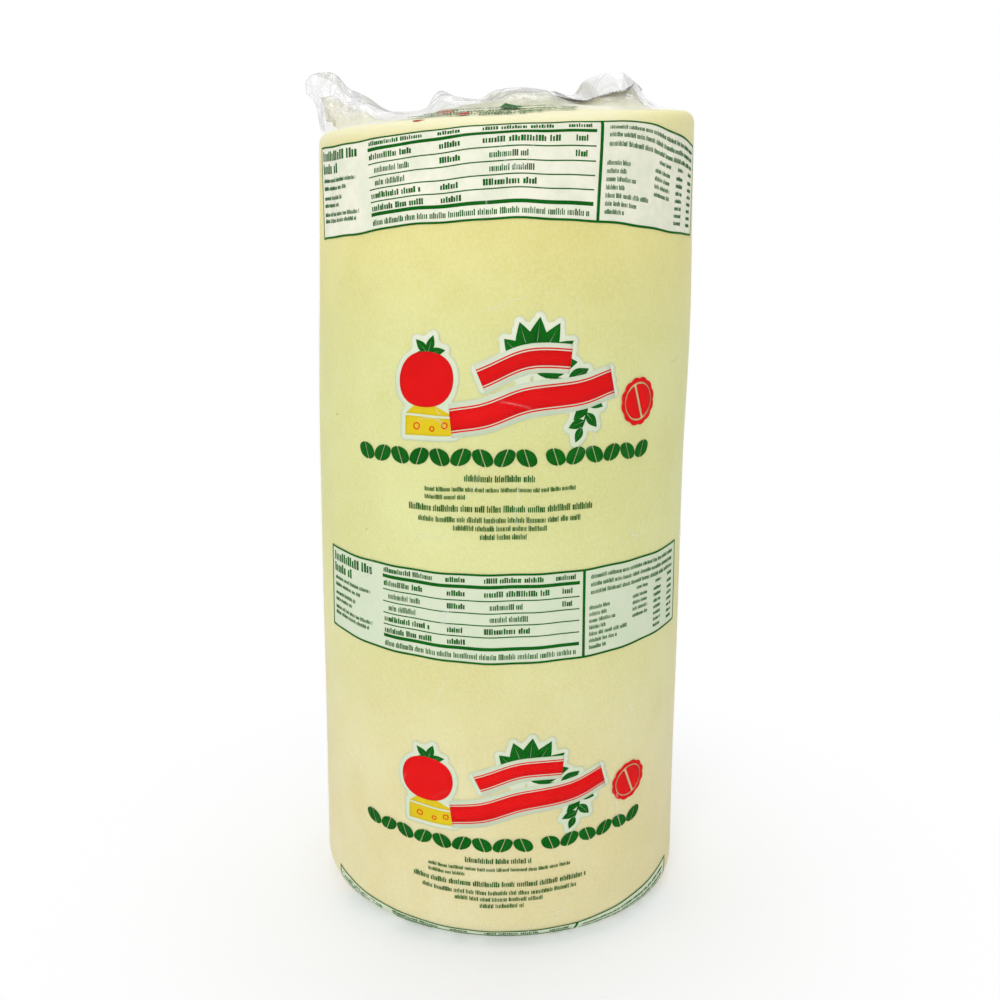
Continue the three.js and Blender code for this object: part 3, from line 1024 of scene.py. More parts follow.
class Shapes:
    """Collects flat shapes of one ink as tables of points (u, q) in millimetres: u across the film
    from the print's middle, q up the film from the foot of the row of leaves."""

    def __init__(self):
        self.patches = []
        self.front_patches = []  # those that aren't printed again behind

    def patch(self, u, q, wrap=False):
        """Adds a table of points, with its rows turned round if its cells would face inwards."""
        u, q = np.asarray(u, float), np.asarray(q, float)
        across = np.diff(u, axis=1)[:-1], np.diff(q, axis=1)[:-1]
        up = np.diff(u, axis=0)[:, :-1], np.diff(q, axis=0)[:, :-1]
        if (across[0] * up[1] - across[1] * up[0]).sum() < 0:
            u, q = u[::-1], q[::-1]
        self.patches.append((u, q, wrap, None))

    def sheet(self, corners):
        """A field with four corners, given in turn, in cells small enough to follow the log."""
        a, b, c, d = (np.array(corner, float) for corner in corners)
        columns = max(int(np.linalg.norm(b - a) / CELL), 1) + 1
        rows = max(int(np.linalg.norm(d - a) / CELL), 1) + 1
        s, t = np.meshgrid(np.linspace(0, 1, columns), np.linspace(0, 1, rows))
        points = mix(mix(a, b, s[..., None]), mix(d, c, s[..., None]), t[..., None])
        self.patch(points[..., 0], points[..., 1])

    def field(self, left, right, low, high):
        """A rectangle, in cells small enough to follow the log."""
        columns = max(int((right - left) / CELL), 1) + 1
        rows = max(int((high - low) / CELL), 1) + 1
        self.patch(*np.meshgrid(np.linspace(left, right, columns), np.linspace(low, high, rows)))

    def frame(self, left, right, low, high, width):
        """Four bars round a rectangle, the upright ones between the level ones."""
        self.field(left, right, low, low + width)
        self.field(left, right, high - width, high)
        self.field(left, left + width, low + width, high - width)
        self.field(right - width, right, low + width, high - width)

    def strokes(self, left, right, low, high, generator, bold):
        """A line of small upright strokes in groups, some taller than others, in place of words."""
        height = high - low
        pitch = height * (0.42 if bold else 0.3)
        count = max(int((right - left) / pitch), 1)
        start = left + pitch * np.arange(count)
        gap = np.zeros(count, bool)
        breaks = np.cumsum(generator.integers(6, 16, count))
        gap[breaks[breaks < count]] = True
        start = start[~gap]
        width = pitch * generator.uniform(0.45, 0.75, len(start)) * (1.15 if bold else 1.0)
        tall = generator.random(len(start)) < (0.45 if bold else 0.3)
        top = low + height * np.where(tall, 1.0, 0.76)
        for u, w, q in zip(start, width, top):
            self.patch([[u, u + w], [u, u + w]], [[low, low], [q, q]])

    def disc(self, u, q, radius, outline, cells):
        """A round field: a square grid bent into a circle, then stretched by an outline, which is a
        function of the direction."""
        a, b = np.meshgrid(np.linspace(-1, 1, cells + 1), np.linspace(-1, 1, cells + 1))
        x = a * np.sqrt(1 - b * b / 2)
        y = b * np.sqrt(1 - a * a / 2)
        stretch = outline(np.arctan2(y, x))
        self.patch(u + radius * stretch * x, q + radius * stretch * y)

    def region(self, points, margin, step=0.8):
        """A field that reaches a margin beyond a cloud of points: the cells of a square grid whose
        middles lie within it, with the corners near its outline moved onto the outline."""
        low = points.min(axis=0) - margin - step
        high = points.max(axis=0) + margin + step
        u, q = np.meshgrid(np.arange(low[0], high[0], step), np.arange(low[1], high[1], step))
        grid = np.stack([u, q], axis=-1)
        away = np.array([np.linalg.norm(row[:, None] - points, axis=-1).min(axis=1) for row in grid])
        away = away - margin
        slope_q, slope_u = np.gradient(away, step)
        inside = (away[:-1, :-1] + away[1:, :-1] + away[:-1, 1:] + away[1:, 1:]) < 0
        around = np.pad(inside, 1)
        corners = around[:-1, :-1].astype(int) + around[1:, :-1] + around[:-1, 1:] + around[1:, 1:]
        moved = np.where((corners > 0) & (corners < 4), np.clip(away, -0.7 * step, 0.7 * step), 0)
        self.patches.append((u - moved * slope_u, q - moved * slope_q, False, inside))

    def ring(self, u, q, inner, outer, steps):
        """A round band between two radii: a radius times the cosine and sine of each turn."""
        turn = TURN * np.arange(steps) / steps
        radius = np.array([outer, inner])[:, None]
        self.patch(u + radius * np.cos(turn), q + radius * np.sin(turn), wrap=True)

    def band(self, line_u, line_q, half_left, half_right):
        """A strip along a line, to both sides of it by a half width for each of its points."""
        run = np.stack([np.gradient(line_u), np.gradient(line_q)])
        run = run / np.linalg.norm(run, axis=0)
        sides = np.linspace(-half_right * np.ones(len(line_u)), half_left * np.ones(len(line_u)), 3)
        self.patch(line_u - run[1] * sides, line_q + run[0] * sides)

    def leaf(self, u, q, direction, length, width, steps=9):
        """A pointed leaf from its stalk: two halves beside a thin vein, each a strip whose outer edge
        is a sine of the way along it."""
        way = np.linspace(0, 1, steps)
        half = width / 2 * np.sin(np.pi * way**0.85) + 0.06
        vein = np.minimum(0.02 * width * (1 - way), half - 0.03)
        line = u + length * way * math.cos(direction), q + length * way * math.sin(direction)
        self.band(*line, half, -vein)
        self.band(*line, -vein, half)

    def outline_points(self):
        """All points of all patches, one below the other."""
        return np.vstack([np.stack([p[0].ravel(), p[1].ravel()], axis=-1) for p in self.patches])


def print_place(u, q):
    """Where a point of the flat print lies on the log: its angle and place t. The film is stretched
    unevenly along the log, it is drawn sideways near the top, and its lines bow up or down towards
    the sides. The uppermost panel's two long lines are drawn up or down as DRAWN_LOW and DRAWN_HIGH
    say, and what lies between them follows."""
    t = np.interp(q, STATIONS_Q, STATIONS_T)
    drawn = smooth(t, *DRAWN_ON_LOG)
    place = (u - DRAWN_FROM) / DRAWN_STEP
    foot, top = DRAWN_PANEL
    up = np.clip((t - foot) / (top - foot), 0, 1)
    draw = mix(through(DRAWN_LOW, place), through(DRAWN_HIGH, place), up)
    wide, wider = DRAWN_WIDER
    u = u * (1 + wide * drawn + wider * smooth(t, *DRAWN_NEAR_RIM)) - DRAWN_LEFT * drawn
    angle = u / RADIUS
    bow = (BOW_AT_FOOT - BOW_SLOPE * t) * (1 - np.cos(angle))
    waver = (WAVER[0] + WAVER[1] * drawn) * np.sin(u / 7.3 + 0.05 * t) + FINE_WAVER * np.sin(u / 2.9)
    return angle, t + bow + waver + draw * drawn


def build_ink(name, shapes, depth, material):
    """Lays the shapes of one ink under the film, in front and again behind, as thin closed slabs."""
    outer, inner, quads = [], [], []
    count = 0
    placed = [(patch, turn) for patch in shapes.patches for turn in (0, math.pi)]
    placed += [(patch, 0) for patch in shapes.front_patches]
    for (u, q, wrap, chosen), turn in placed:
        cells = grid_quads(np.arange(u.size).reshape(u.shape), wrap)
        if chosen is not None:
            cells = cells[chosen.ravel()]
        angle, t = print_place(u.ravel(), q.ravel())
        points, below = FILM.at(angle + turn, t, depth)
        deeper, _ = FILM.at(angle + turn, t, depth + INK_THICKNESS)
        kept = cells[below[cells].all(axis=1)]
        if len(kept):
            outer.append(points)
            inner.append(deeper)
            quads.append(kept + count)
            count += len(points)
    made = link_mesh(name, *closed_slab(np.vstack(outer), np.vstack(inner), np.vstack(quads)))
    made.data.materials.append(material)
    return made


# ---------------------------------------------------------------- what is printed

PANEL_LOW = -71.9
PANEL_HIGH = -38.4
PANEL_LEFT = -79.5
PANEL_RIGHT = 86.5
PANEL_LINE = 0.75
DIVIDER = 30.6
DIVIDER_WIDTH = 1.1
TABLE_LEFT = -46.0
TABLE_GAP = 1.3  # between the rules' right ends and the divider
RULES = ((28.7, 0.62), (5.8, 0.62), (23.6, 0.2), (19.0, 0.2), (14.6, 0.2), (10.2, 0.2))  # height, half width
BOLD = True
PLAIN = False
# Lines of strokes: left end, right end, middle height over the panel's foot, letter height, weight
HEAD_LINES = (
    (-45.5, -24, 31.1, 1.9, BOLD),
    (-20, -12.5, 31.1, 1.9, BOLD),
    (-6, 16, 31.1, 1.9, BOLD),
    (20, 28, 31.1, 1.9, BOLD),
)
LEFT_LINES = (
    (-45.5, -27.5, 26.1, 2.1, BOLD),
    (-19.5, -12.5, 26.1, 2.0, BOLD),
    (-43.5, -29.5, 21.3, 2.1, PLAIN),
    (-19.5, -12.5, 21.3, 2.0, BOLD),
    (-43.5, -31.5, 16.8, 2.1, PLAIN),
    (-45.5, -25.5, 12.4, 2.1, BOLD),
    (-19.5, -12.5, 12.4, 2.0, BOLD),
    (-45.5, -24.5, 8.0, 2.1, BOLD),
    (-19.5, -12.5, 8.0, 2.0, BOLD),
)
RIGHT_LINES = (
    (-6, 18, 26.1, 2.1, BOLD),
    (-4, 8, 21.3, 2.1, PLAIN),
    (-4, 10, 16.8, 2.1, PLAIN),
    (-6, 11, 12.4, 2.1, BOLD),
    (22.5, 27.5, 26.1, 2.0, BOLD),
    (22.5, 27.5, 21.3, 2.0, BOLD),
    (-45.5, 28.5, 2.9, 2.1, PLAIN),
)
SIDE_LINES = (
    (-77, -50.5, 29.6, 3.6, BOLD),
    (-77, -62, 25.0, 3.6, BOLD),
    (-76.5, -52.5, 20.8, 1.5, PLAIN),
    (-76.5, -58.5, 18.0, 1.5, PLAIN),
    (-76.5, -61.5, 14.5, 1.5, PLAIN),
    (-76.5, -63.5, 11.9, 1.5, PLAIN),
    (-76.5, -51.5, 8.6, 1.5, PLAIN),
    (-76.5, -53.5, 6.3, 1.5, PLAIN),
)
NOTE_LINES = (
    (34, 83, 30.2, 1.6, PLAIN),
    (34, 83, 27.3, 1.6, PLAIN),
    (34, 83, 24.4, 1.6, PLAIN),
    (56, 63, 21.6, 1.4, PLAIN),
    (68, 73, 21.6, 1.4, PLAIN),
    (78, 83, 21.6, 1.4, PLAIN),
)
NOTE_REACHES = (9, 8, 12, 8, 18, 13, 8)  # lengths of the first words in the rows under the notes
NOTE_TOP = 18.6
NOTE_PITCH = 2.5
NOTE_LONG_ROWS = 4


def note_row_lines():
    """The rows under the notes: a first word and three short columns, of which the left one ends sooner."""
    lines = []
    for k, reach in enumerate(NOTE_REACHES):
        height = NOTE_TOP - NOTE_PITCH * k
        lines.append((33.5, 33.5 + reach, height, 1.5, PLAIN))
        if k < NOTE_LONG_ROWS:
            lines.append((54, 63, height, 1.4, PLAIN))
        lines.append((67, 72.5, height, 1.4, PLAIN))
        lines.append((78, 83, height, 1.4, PLAIN))
    return lines


def panel_shapes(white, green, generator, base):
    """A pale panel with a green frame, a divider, rules and lines of strokes in three columns."""
    low = base + PANEL_LOW
    high = base + PANEL_HIGH
    white.field(PANEL_LEFT, PANEL_RIGHT, low, high)
    green.frame(PANEL_LEFT, PANEL_RIGHT, low, high, PANEL_LINE)
    green.field(DIVIDER, DIVIDER + DIVIDER_WIDTH, low + PANEL_LINE, high - PANEL_LINE)
    for height, half in RULES:
        green.field(TABLE_LEFT, DIVIDER - TABLE_GAP, low + height - half, low + height + half)
    lines = (*HEAD_LINES, *LEFT_LINES, *RIGHT_LINES, *SIDE_LINES, *NOTE_LINES, *note_row_lines())
    for left, right, middle, height, bold in lines:
        green.strokes(left, right, low + middle - height / 2, low + middle + height / 2, generator, bold)


LEAF_ROW_GROUPS = ((-56.9, 12.6, 9), (15.4, 60.4, 6))
LEAF_HEIGHT = 6.2


def leaf_row_shapes(green, base):
    """A row of plump blocks with a slanting slit in each, in two groups."""
    way = np.linspace(-0.97, 0.97, 11)
    bulge = (1 - np.abs(way) ** 2.6) ** 0.6
    for left, right, count in LEAF_ROW_GROUPS:
        pitch = (right - left) / count
        for k in range(count):
            lean_by = 1.1 if k % 2 else -1.1
            for side in (-1, 1):
                slit = lean_by * way + side * 0.17
                edge = lean_by * way + side * (0.2 + bulge * pitch * 0.43)
                across = mix(slit, edge, np.array([0.0, 0.5, 1.0])[:, None])
                height = np.broadcast_to(base + LEAF_HEIGHT * (0.5 + 0.51 * way), across.shape)
                green.patch(left + pitch * (k + 0.5) + across, height)


SMALL_LINES = (  # left, right, middle height, letter height
    (-13.1, 12.3, -4.2, 2.4),
    (-27.6, 27.4, -8.2, 1.6),
    (-27.6, -12.5, -11.0, 1.6),
    (-33.8, 34.0, -15.0, 2.4),
    (-30.1, 30.4, -19.0, 2.0),
    (-17.1, 16.7, -22.0, 1.9),
    (-7.5, 9.5, -25.0, 2.0),
)
TOP_LETTERS = 1.3  # how much larger these letters are on the log's top


def small_line_shapes(green, generator, base):
    """Lines of small strokes under the row of leaves, coarser where they lie on the log's top."""
    for left, right, middle, height in SMALL_LINES:
        height = height * (TOP_LETTERS if base > 0 else 1.0)
        low = base + middle - height / 2
        green.strokes(left, right, low, low + height, generator, base > 0)


EMBLEM = (0.5, 30.0)
STALK_HALF = 0.35
LEAF_TURN = 0.85
TOMATO = (-28.5, 0.2, 10.2)  # place and radius, from the emblem's middle as all that follows
TOMATO_LIGHT = ((-35.1, -1.5), (-35.4, 1.5), (-34.4, 4.3), (-32.9, 5.9))
TOMATO_STALK = (-28.0, 9.3, 6, 62, 6.6, 3.0)  # place, leaves and the degrees between them, length, width
WEDGE_FACE = ((-36, -19.5), (-17.5, -19.5), (-17.5, -13.5), (-36, -12.5))
WEDGE_TOP = ((-36, -11.7), (-17.5, -12.7), (-26, -8.2), (-31, -7.6))
WEDGE_HOLES = ((-31.5, -16.2, 1.3), (-25.6, -17, 1.0), (-21, -15.8, 1.2))
HOLE_LINE = 0.4
BUNCH = (9.5, 3.5)
BUNCH_LEAVES = ((8, 16), (34, 17), (60, 18), (84, 18), (108, 17), (134, 15), (160, 12))  # direction, length
BUNCH_WIDTH = 8.0
SPRIG = ((15, 1), (35, -2), (28, -17))  # start, bend and end
SPRIG_LEAVES = (9, 9.5, 4.8)  # number, length and width
RIBBONS = (  # start, bend, end and half width
    ((-9, 1.5), (4, 7.5), (23, 7.5), 3.5),
    ((-19, -14.5), (8, -6.5), (40, -2), 4.4),
)
RIBBON_WAVE = (0.9, 5.5)
RIBBON_BACKING = 1.6
RIBBON_GAP = 0.9
RIBBON_LINE = 0.5
BACKING_MARGIN = 2.0


def curve(start, bend, end, steps=31):
    """Points of a quadratic curve between two ends, pulled towards a bend, and its headings."""
    way = np.linspace(0, 1, steps)
    u, q = ((1 - way) ** 2 * start[k] + 2 * way * (1 - way) * bend[k] + way**2 * end[k] for k in (0, 1))
    return u, q, np.arctan2(np.gradient(q), np.gradient(u))


def sprig(green, ends, leaves, length, width):
    """A curved stalk with a leaf to each side in turn, the last ones smaller."""
    steps = 15
    u, q, heading = curve(*ends, steps)
    green.band(u, q, STALK_HALF, STALK_HALF)
    way = np.linspace(0, 1, steps)
    for k in range(leaves):
        spot = 0.1 + 0.82 * k / max(leaves - 1, 1)
        place = [np.interp(spot, way, values) for values in (u, q, heading)]
        direction = place[2] + (LEAF_TURN if k % 2 else -LEAF_TURN)
        shrink = 1 - 0.35 * spot
        green.leaf(place[0], place[1], direction, length * shrink, width * shrink)
    green.leaf(u[-1], q[-1], heading[-1], length * 0.6, width * 0.6)


def tomato_outline(turn):
    """A circle, by two cosines flattened at its top and foot and a little fuller on its diagonals."""
    return 1 + 0.03 * np.cos(2 * turn) - 0.02 * np.cos(4 * turn)


def emblem_shapes(green, red, yellow, outline, base):
    """A tomato, a wedge of cheese and a bunch of leaves behind two rising red ribbons."""
    middle = np.array([EMBLEM[0], EMBLEM[1] + base])

    def placed(points):
        return middle + np.array(points, float)

    red.disc(*placed(TOMATO[:2]), TOMATO[2], tomato_outline, 14)
    outline.band(*placed(TOMATO_LIGHT).T, 0.5, 0.5)
    *stalk, leaves, between, length, width = TOMATO_STALK
    for k in range(leaves):
        green.leaf(*placed(stalk), math.radians(10 + between * k), length, width)
    yellow.sheet(placed(WEDGE_FACE))
    yellow.sheet(placed(WEDGE_TOP))
    for *place, radius in WEDGE_HOLES:
        red.ring(*placed(place), radius - HOLE_LINE, radius, 20)
    for direction, length in BUNCH_LEAVES:
        green.leaf(*placed(BUNCH), math.radians(direction), length, BUNCH_WIDTH)
    sprig(green, placed(SPRIG), *SPRIG_LEAVES)
    wave, wave_length = RIBBON_WAVE
    for *ends, half in RIBBONS:
        u, q, _ = curve(*placed(ends))
        q = q + wave * np.sin((u - middle[0]) / wave_length)
        outline.band(u, q, half + RIBBON_BACKING, half + RIBBON_BACKING)
        red.band(u, q, half - RIBBON_GAP, half - RIBBON_GAP)
        red.band(u, q, half, -(half - RIBBON_LINE))
        red.band(u, q, -(half - RIBBON_LINE), half)


SEAL = (53.7, 20.8)
SEAL_RING = (7.0, 8.3, 0.55)  # inner radius, outer radius and depth of its scallops
SEAL_MIDDLE = 6.3
SEAL_GAP = 0.5
SEAL_SLANT = (0.94, 0.34)  # cosine and sine of the gap's slant


def seal_shapes(red, base):
    """A plain rosette: a scalloped red ring close round a red middle with a slanting gap."""
    steps = 72
    turn = TURN * np.arange(steps) / steps
    inner, outer, scallop = SEAL_RING
    radius = np.stack([outer + scallop * np.abs(np.sin(6 * turn)), np.full(steps, inner)])
    u, q = SEAL[0], base + SEAL[1]
    red.patch(u + radius * np.cos(turn), q + radius * np.sin(turn), wrap=True)
    cosine, sine = SEAL_SLANT
    way = np.linspace(-0.98, 0.98, 13)
    for side in (-1, 1):
        reach = np.linspace(SEAL_GAP, SEAL_MIDDLE * np.sqrt(1 - way**2) + 0.3, 4) * side
        height = np.broadcast_to(SEAL_MIDDLE * way, reach.shape)
        red.patch(u + reach * cosine - height * sine, q + reach * sine + height * cosine)


CROWN_MARKS = (  # ink, u, q, direction, length, width of the few marks seen in the crown
    ("green", 9.4, 145.0, 90, 15.0, 9.0),
    ("red", -14.0, 132.0, 55, 7.5, 3.6),
    ("red", -31.0, 125.8, 8, 4.6, 2.4),
)
CROWN_STRIPES = (-21.0, -14.4, 138.5, 152.5, 1.4)  # a hatched patch: sides, foot, top and pitch
STRIPE_SHARE = 0.25


def print_shapes():
    """All shapes of the print for each ink, for each repeat that falls on the log."""
    inks = {name: Shapes() for name in INK_DEPTHS}
    for k in REPEATS:
        generator = np.random.default_rng(SEED)
        base = REPEAT * k
        panel_shapes(inks["white"], inks["green"], generator, base)
        small_line_shapes(inks["green"], generator, base)
        if base > 0:
            continue
        green, red, yellow, outline = (Shapes() for _ in range(4))
        emblem_shapes(green, red, yellow, outline, base)
        points = np.vstack([shape.outline_points() for shape in (green, red, yellow)])
        inks["white"].region(points, BACKING_MARGIN)
        for ink, shapes in (("green", green), ("red", red), ("yellow", yellow), ("outline", outline)):
            inks[ink].patches += shapes.patches
        leaf_row_shapes(inks["green"], base)
        seal_shapes(inks["red"], base)
    marks = {name: Shapes() for name in INK_DEPTHS}
    for ink, u, q, direction, length, width in CROWN_MARKS:
        marks[ink].leaf(u, q, math.radians(direction), length, width)
    left, right, low, high, pitch = CROWN_STRIPES
    for q in np.arange(low, high, pitch):
        marks["red"].field(left, right, q, q + STRIPE_SHARE * pitch)
    for name in INK_DEPTHS:
        inks[name].front_patches = marks[name].patches
    return inks


# ---------------------------------------------------------------- settings


def colour_setting(name, description, default):
    """A colour that a user can change."""
    return FloatVectorProperty(
        name=name, description=description, subtype="COLOR", size=4, min=0, max=1, default=default
    )


class CheeseSettings(PropertyGroup):
    """Colours and fineness of the cheese."""

    pale: colour_setting("Pale", "Paler colour of the upper half", byte_colour(231, 221, 143))
    deep: colour_setting("Deep", "Deeper colour of the upper half's clouds", byte_colour(222, 211, 126))
    middle_pale: colour_setting("Middle pale", "Paler colour half way up", byte_colour(222, 224, 157))
    middle_deep: colour_setting("Middle deep", "Deeper colour half way up", byte_colour(215, 215, 143))
    low_pale: colour_setting("Lower pale", "Paler colour near the foot", byte_colour(229, 220, 172))
    low_deep: colour_setting("Lower deep", "Deeper colour near the foot", byte_colour(223, 212, 156))
    # Painted highlight: the rim's paler colours stand for a soft highlight along the rim, weaker at the
    # right.
    rim: colour_setting("Rim", "Colour of the top and its rounded edge", byte_colour(236, 232, 192))
    rim_right_highlight: colour_setting("Rim right", "Colour of that edge at the right", byte_colour(232, 226, 166))
    gathered: colour_setting(
        "Gathered", "Colour where the cheese is pressed into the gathered film", byte_colour(241, 238, 219)
    )
    # Painted shade, in part: the deeper lump colour stands for the shade of the film's folds over the
    # gathered cheese.
    gathered_shade: colour_setting(
        "Gathered deep", "Deeper colour of the lumps in the gathered film", byte_colour(190, 192, 166)
    )
    columns: IntProperty(
        name="Columns",
        description="Points round the cheese",
        default=288,
        min=24,
        max=720,
    )


class FilmSettings(PropertyGroup):
    """Look of the film and its cut edge, and size of the edge's teeth."""

    shade: colour_setting("Shade", "What one layer of loose film lets through", (0.84, 0.83, 0.86, 1))
    # The milky creases are partly whitened film and partly painted highlights, and the folded milk beside
    # the ridges is painted shade.
    milk: colour_setting("Milk", "Colour of the film's milky creases", (0.95, 0.95, 0.95, 1))
    fold_shade_milk: colour_setting(
        "Folded milk", "Colour of the milky film beside its ridges", (0.74, 0.73, 0.76, 1)
    )
    # Painted shade: the dark cut edge stands for the edge's refraction.
    cut_edge_shade: colour_setting("Cut edge", "Colour of the film's toothed cut edge", (0.09, 0.11, 0.1, 1))
    crease_milk: FloatProperty(
        name="Crease milk",
        description="How milky a sharp crease is",
        subtype="FACTOR",
        default=0.45,
        min=0,
        max=1,
    )
    tooth_depth: FloatProperty(
        name="Tooth depth",
        description="Depth of the cut edge's teeth as a share of the flap's width",
        subtype="FACTOR",
        default=0.06,
        min=0,
        max=0.3,
    )
    tooth_pitch: FloatProperty(
        name="Tooth pitch",
        description="Distance between the teeth of the cut edge",
        subtype="DISTANCE",
        unit="LENGTH",
        default=1.6 * MM,
        min=0.5 * MM,
        max=5 * MM,
    )


class PrintSettings(PropertyGroup):
    """Colours of the inks."""

    white: colour_setting("White", "Colour of the pale fields", byte_colour(218, 226, 200))
    upper_white: colour_setting(
        "Upper white", "Colour of the pale fields near the top", byte_colour(246, 244, 226)
    )
    green: colour_setting("Green", "Colour of the rules, strokes and leaves", byte_colour(0, 104, 12))
    red: colour_setting("Red", "Colour of the ribbons and the round mark", byte_colour(232, 12, 14))
    yellow: colour_setting("Yellow", "Colour of the printed wedge", byte_colour(226, 200, 30))


class StageSettings(PropertyGroup):
    """The floor, the lights and the camera."""

    floor_radius: FloatProperty(
        name="Floor radius",
        description="Radius of the round floor",
        subtype="DISTANCE",
        unit="LENGTH",
        default=4.0,
        min=1,
        max=20,
    )
    camera_place: FloatVectorProperty(
        name="Camera place",
        description="Where the camera stands",
        subtype="XYZ",
        unit="LENGTH",
        default=(-1.13 * MM, -483.84 * MM, 255.30 * MM),
    )
    camera_pitch: FloatProperty(
        name="Camera pitch",
        description="How far the camera looks down",
        subtype="ANGLE",
        unit="ROTATION",
        default=math.radians(11.3715),
    )
    camera_roll: FloatProperty(
        name="Camera roll",
        description="How far the camera is turned about its own view",
        subtype="ANGLE",
        unit="ROTATION",
        default=math.radians(0.2336),
    )
    lens: FloatProperty(
        name="Lens",
        description="Focal length in millimetres on a sensor 36 mm wide",
        default=43.178,
        min=10,
    )


# ---------------------------------------------------------------- operators


FOOT_RINGS = (0.3, 0.6, 0.85, 1)  # rings of points under the foot, as shares of its flat part
ARC_ROWS = 10
CHEESE_SIDE_ROWS = 80
CHEESE_CROWN_ROWS = 48


def ways_up(rows):
    """Ways along a stretch at the ends of its rows, without the first: a column from 1 / rows to 1."""
    return np.linspace(0, 1, rows + 1)[1:, None]


def cheese_side(angle):
    """The cheese from its foot to the rim: rings under the foot, the foot's quarter round, the side,
    and the rim's quarter round up to where the film leaves it, CHEESE_INSET inside the solid's face."""
    foot = (side_radius(0) - foot_rounding(angle)) * np.array(FOOT_RINGS)[:, None]
    side = mix(foot_rounding(angle), HEIGHT - rim_rounding(angle), ways_up(CHEESE_SIDE_ROWS))
    turn = rim_turn(angle, crown_edge(angle) - EDGE_ROOM) * ways_up(ARC_ROWS)
    stretches = [
        (foot, np.full(foot.shape, CHEESE_INSET)),
        foot_arc(angle, ways_up(ARC_ROWS), CHEESE_INSET),
        (side_radius(side) - CHEESE_INSET, side),
        rim_arc(angle, turn, CHEESE_INSET),
    ]
    distance, height = (np.vstack(rows) for rows in zip(*stretches))
    return log_point(np.broadcast_to(angle, distance.shape), distance, height)


def cheese_crown(angle, up):
    """The cheese inside the crown: the film's own surface, moved inwards along its normals and, the
    nearer to the crest, straight down, cut off at a slanting line on the left and an upright one on
    the right, and lowered to the share of its height that FILLS gives."""
    crown = crown_point(angle, up)
    at_crest = up[..., None] ** FILL_ROOM_POWER
    crown -= FILL_ROOM * ((1 - at_crest) * grid_normals(crown) + at_crest * np.array([0, 0, 1]))
    crown[..., :2] *= 1 - EDGE_ROOM / CROWN_RADIUS * (1 - up[..., None])
    above = crown[..., 2] - HEIGHT
    wave_height, wave_rate = FILL_LEFT_WAVE
    left = FILL_LEFT - FILL_LEFT_SLOPE * above + wave_height * np.sin(wave_rate * above)
    crown[..., 0] = np.clip(crown[..., 0], left, FILL_RIGHT)
    low = top_face(crown[..., 0], crown[..., 1]) - CHEESE_INSET
    fill = np.interp(ear_share(angle), *np.transpose(FILLS))
    crown[..., 2] = mix(low, np.maximum(crown[..., 2], low), fill)
    return crown


class PROVOLONE_OT_cheese(Operator):
    """Builds the cheese inside the film"""

    bl_idname = "provolone.cheese"
    bl_label = "Cheese"

    def execute(self, context):
        settings = context.scene.provolone_cheese
        remove_old("cheese")
        angle = -RIGHT_ANGLE + TURN * np.arange(settings.columns)[None] / settings.columns
        side = cheese_side(angle)
        up = np.broadcast_to(ways_up(CHEESE_CROWN_ROWS), (CHEESE_CROWN_ROWS, settings.columns))
        crown = cheese_crown(np.broadcast_to(angle, up.shape), up)
        made = folded_shell("cheese", np.vstack([side, crown]), log_point(0.0, 0.0, CHEESE_INSET)[None])
        start = np.interp(ear_share(angle), GATHER_SHARES, GATHER_UPS)
        low, high = GATHER_BLEND
        gathered = np.vstack([np.zeros(side.shape[:2]), smooth(up, start + low, start + high)])
        add_attribute(made, "gathered", fold_shut(gathered, [0]))
        made.data.materials.append(cheese_material(settings))
        check_inside(made)
        add_piece(made, CHEESE_SLOT, LOG_NODE)
        return {"FINISHED"}


class PROVOLONE_OT_film(Operator):
    """Builds the film: under the foot, up the side, over the rim and up to the crest"""

    bl_idname = "provolone.film"
    bl_label = "Film"

    def execute(self, context):
        remove_old("film")
        made = folded_shell("film", FILM.points[1:], FILM.points[0, :1])
        for name, values in (("loose", FILM.loose), ("crease", FILM.crease)):
            add_attribute(made, name, fold_shut(values[1:], values[0, :1]))
        made.data.materials.append(film_material(context.scene.provolone_film))
        check_inside(made)
        add_piece(made, FILM_SLOT, CROWN_NODE)
        return {"FINISHED"}


def seam_flap(edge, side, tooth_depth, tooth_pitch):
    """One flap of the seam as rows by columns: it follows the crown from the crest down to the ways up
    that its edge gives, less the teeth, and stands off it by a clearance and by pleats that grow
    towards the cut. Also gives how much each point belongs to the cut's painted dark, which stands for
    the edge's dark refraction and which a product of two waves' sum and the way down breaks into dashes."""
    shares, edge_ups = np.transpose(edge)
    share = np.linspace(shares[0], shares[-1], FLAP_COLUMNS)
    angle = RIGHT_ANGLE * share if side > 0 else math.pi - RIGHT_ANGLE * share
    top = crest_point((share + 1) / 2)
    run = np.concatenate([[0], np.cumsum(np.linalg.norm(np.diff(top, axis=0), axis=1))])
    way = 1 - (1 - np.linspace(0, 1, FLAP_ROWS)[:, None]) ** FLAP_ROW_POWER
    reach = 1 - np.interp(share, shares, edge_ups)
    up = 1 - reach * way * (1 - tooth_depth * way**TOOTH_POWER * ridges(run / tooth_pitch))
    drape = crown_point(np.broadcast_to(angle, up.shape), up)
    pleat = ridges(run / PLEAT_PITCH + 0.7 * way) - 0.5 + 0.5 * np.sin(run / PLEAT_WAVE - 2 * way)
    off = FLAP_CLEARANCE + way * (FLAP_FLARE + PLEAT_DEPTH * pleat)
    lift, more = FLAP_LIFT
    flap = drape + np.stack([0 * off, -side * off, lift + more * way + 0 * off], axis=-1)
    flap[..., 2] = np.minimum(flap[..., 2], CROWN_TOP)
    first, second = CUT_DASHES
    dashes = mix(0.5, 1, smooth(np.sin(run / first) + np.sin(run / second), -0.2, 0.7))
    return flap, smooth(way, *CUT_BAND) * dashes


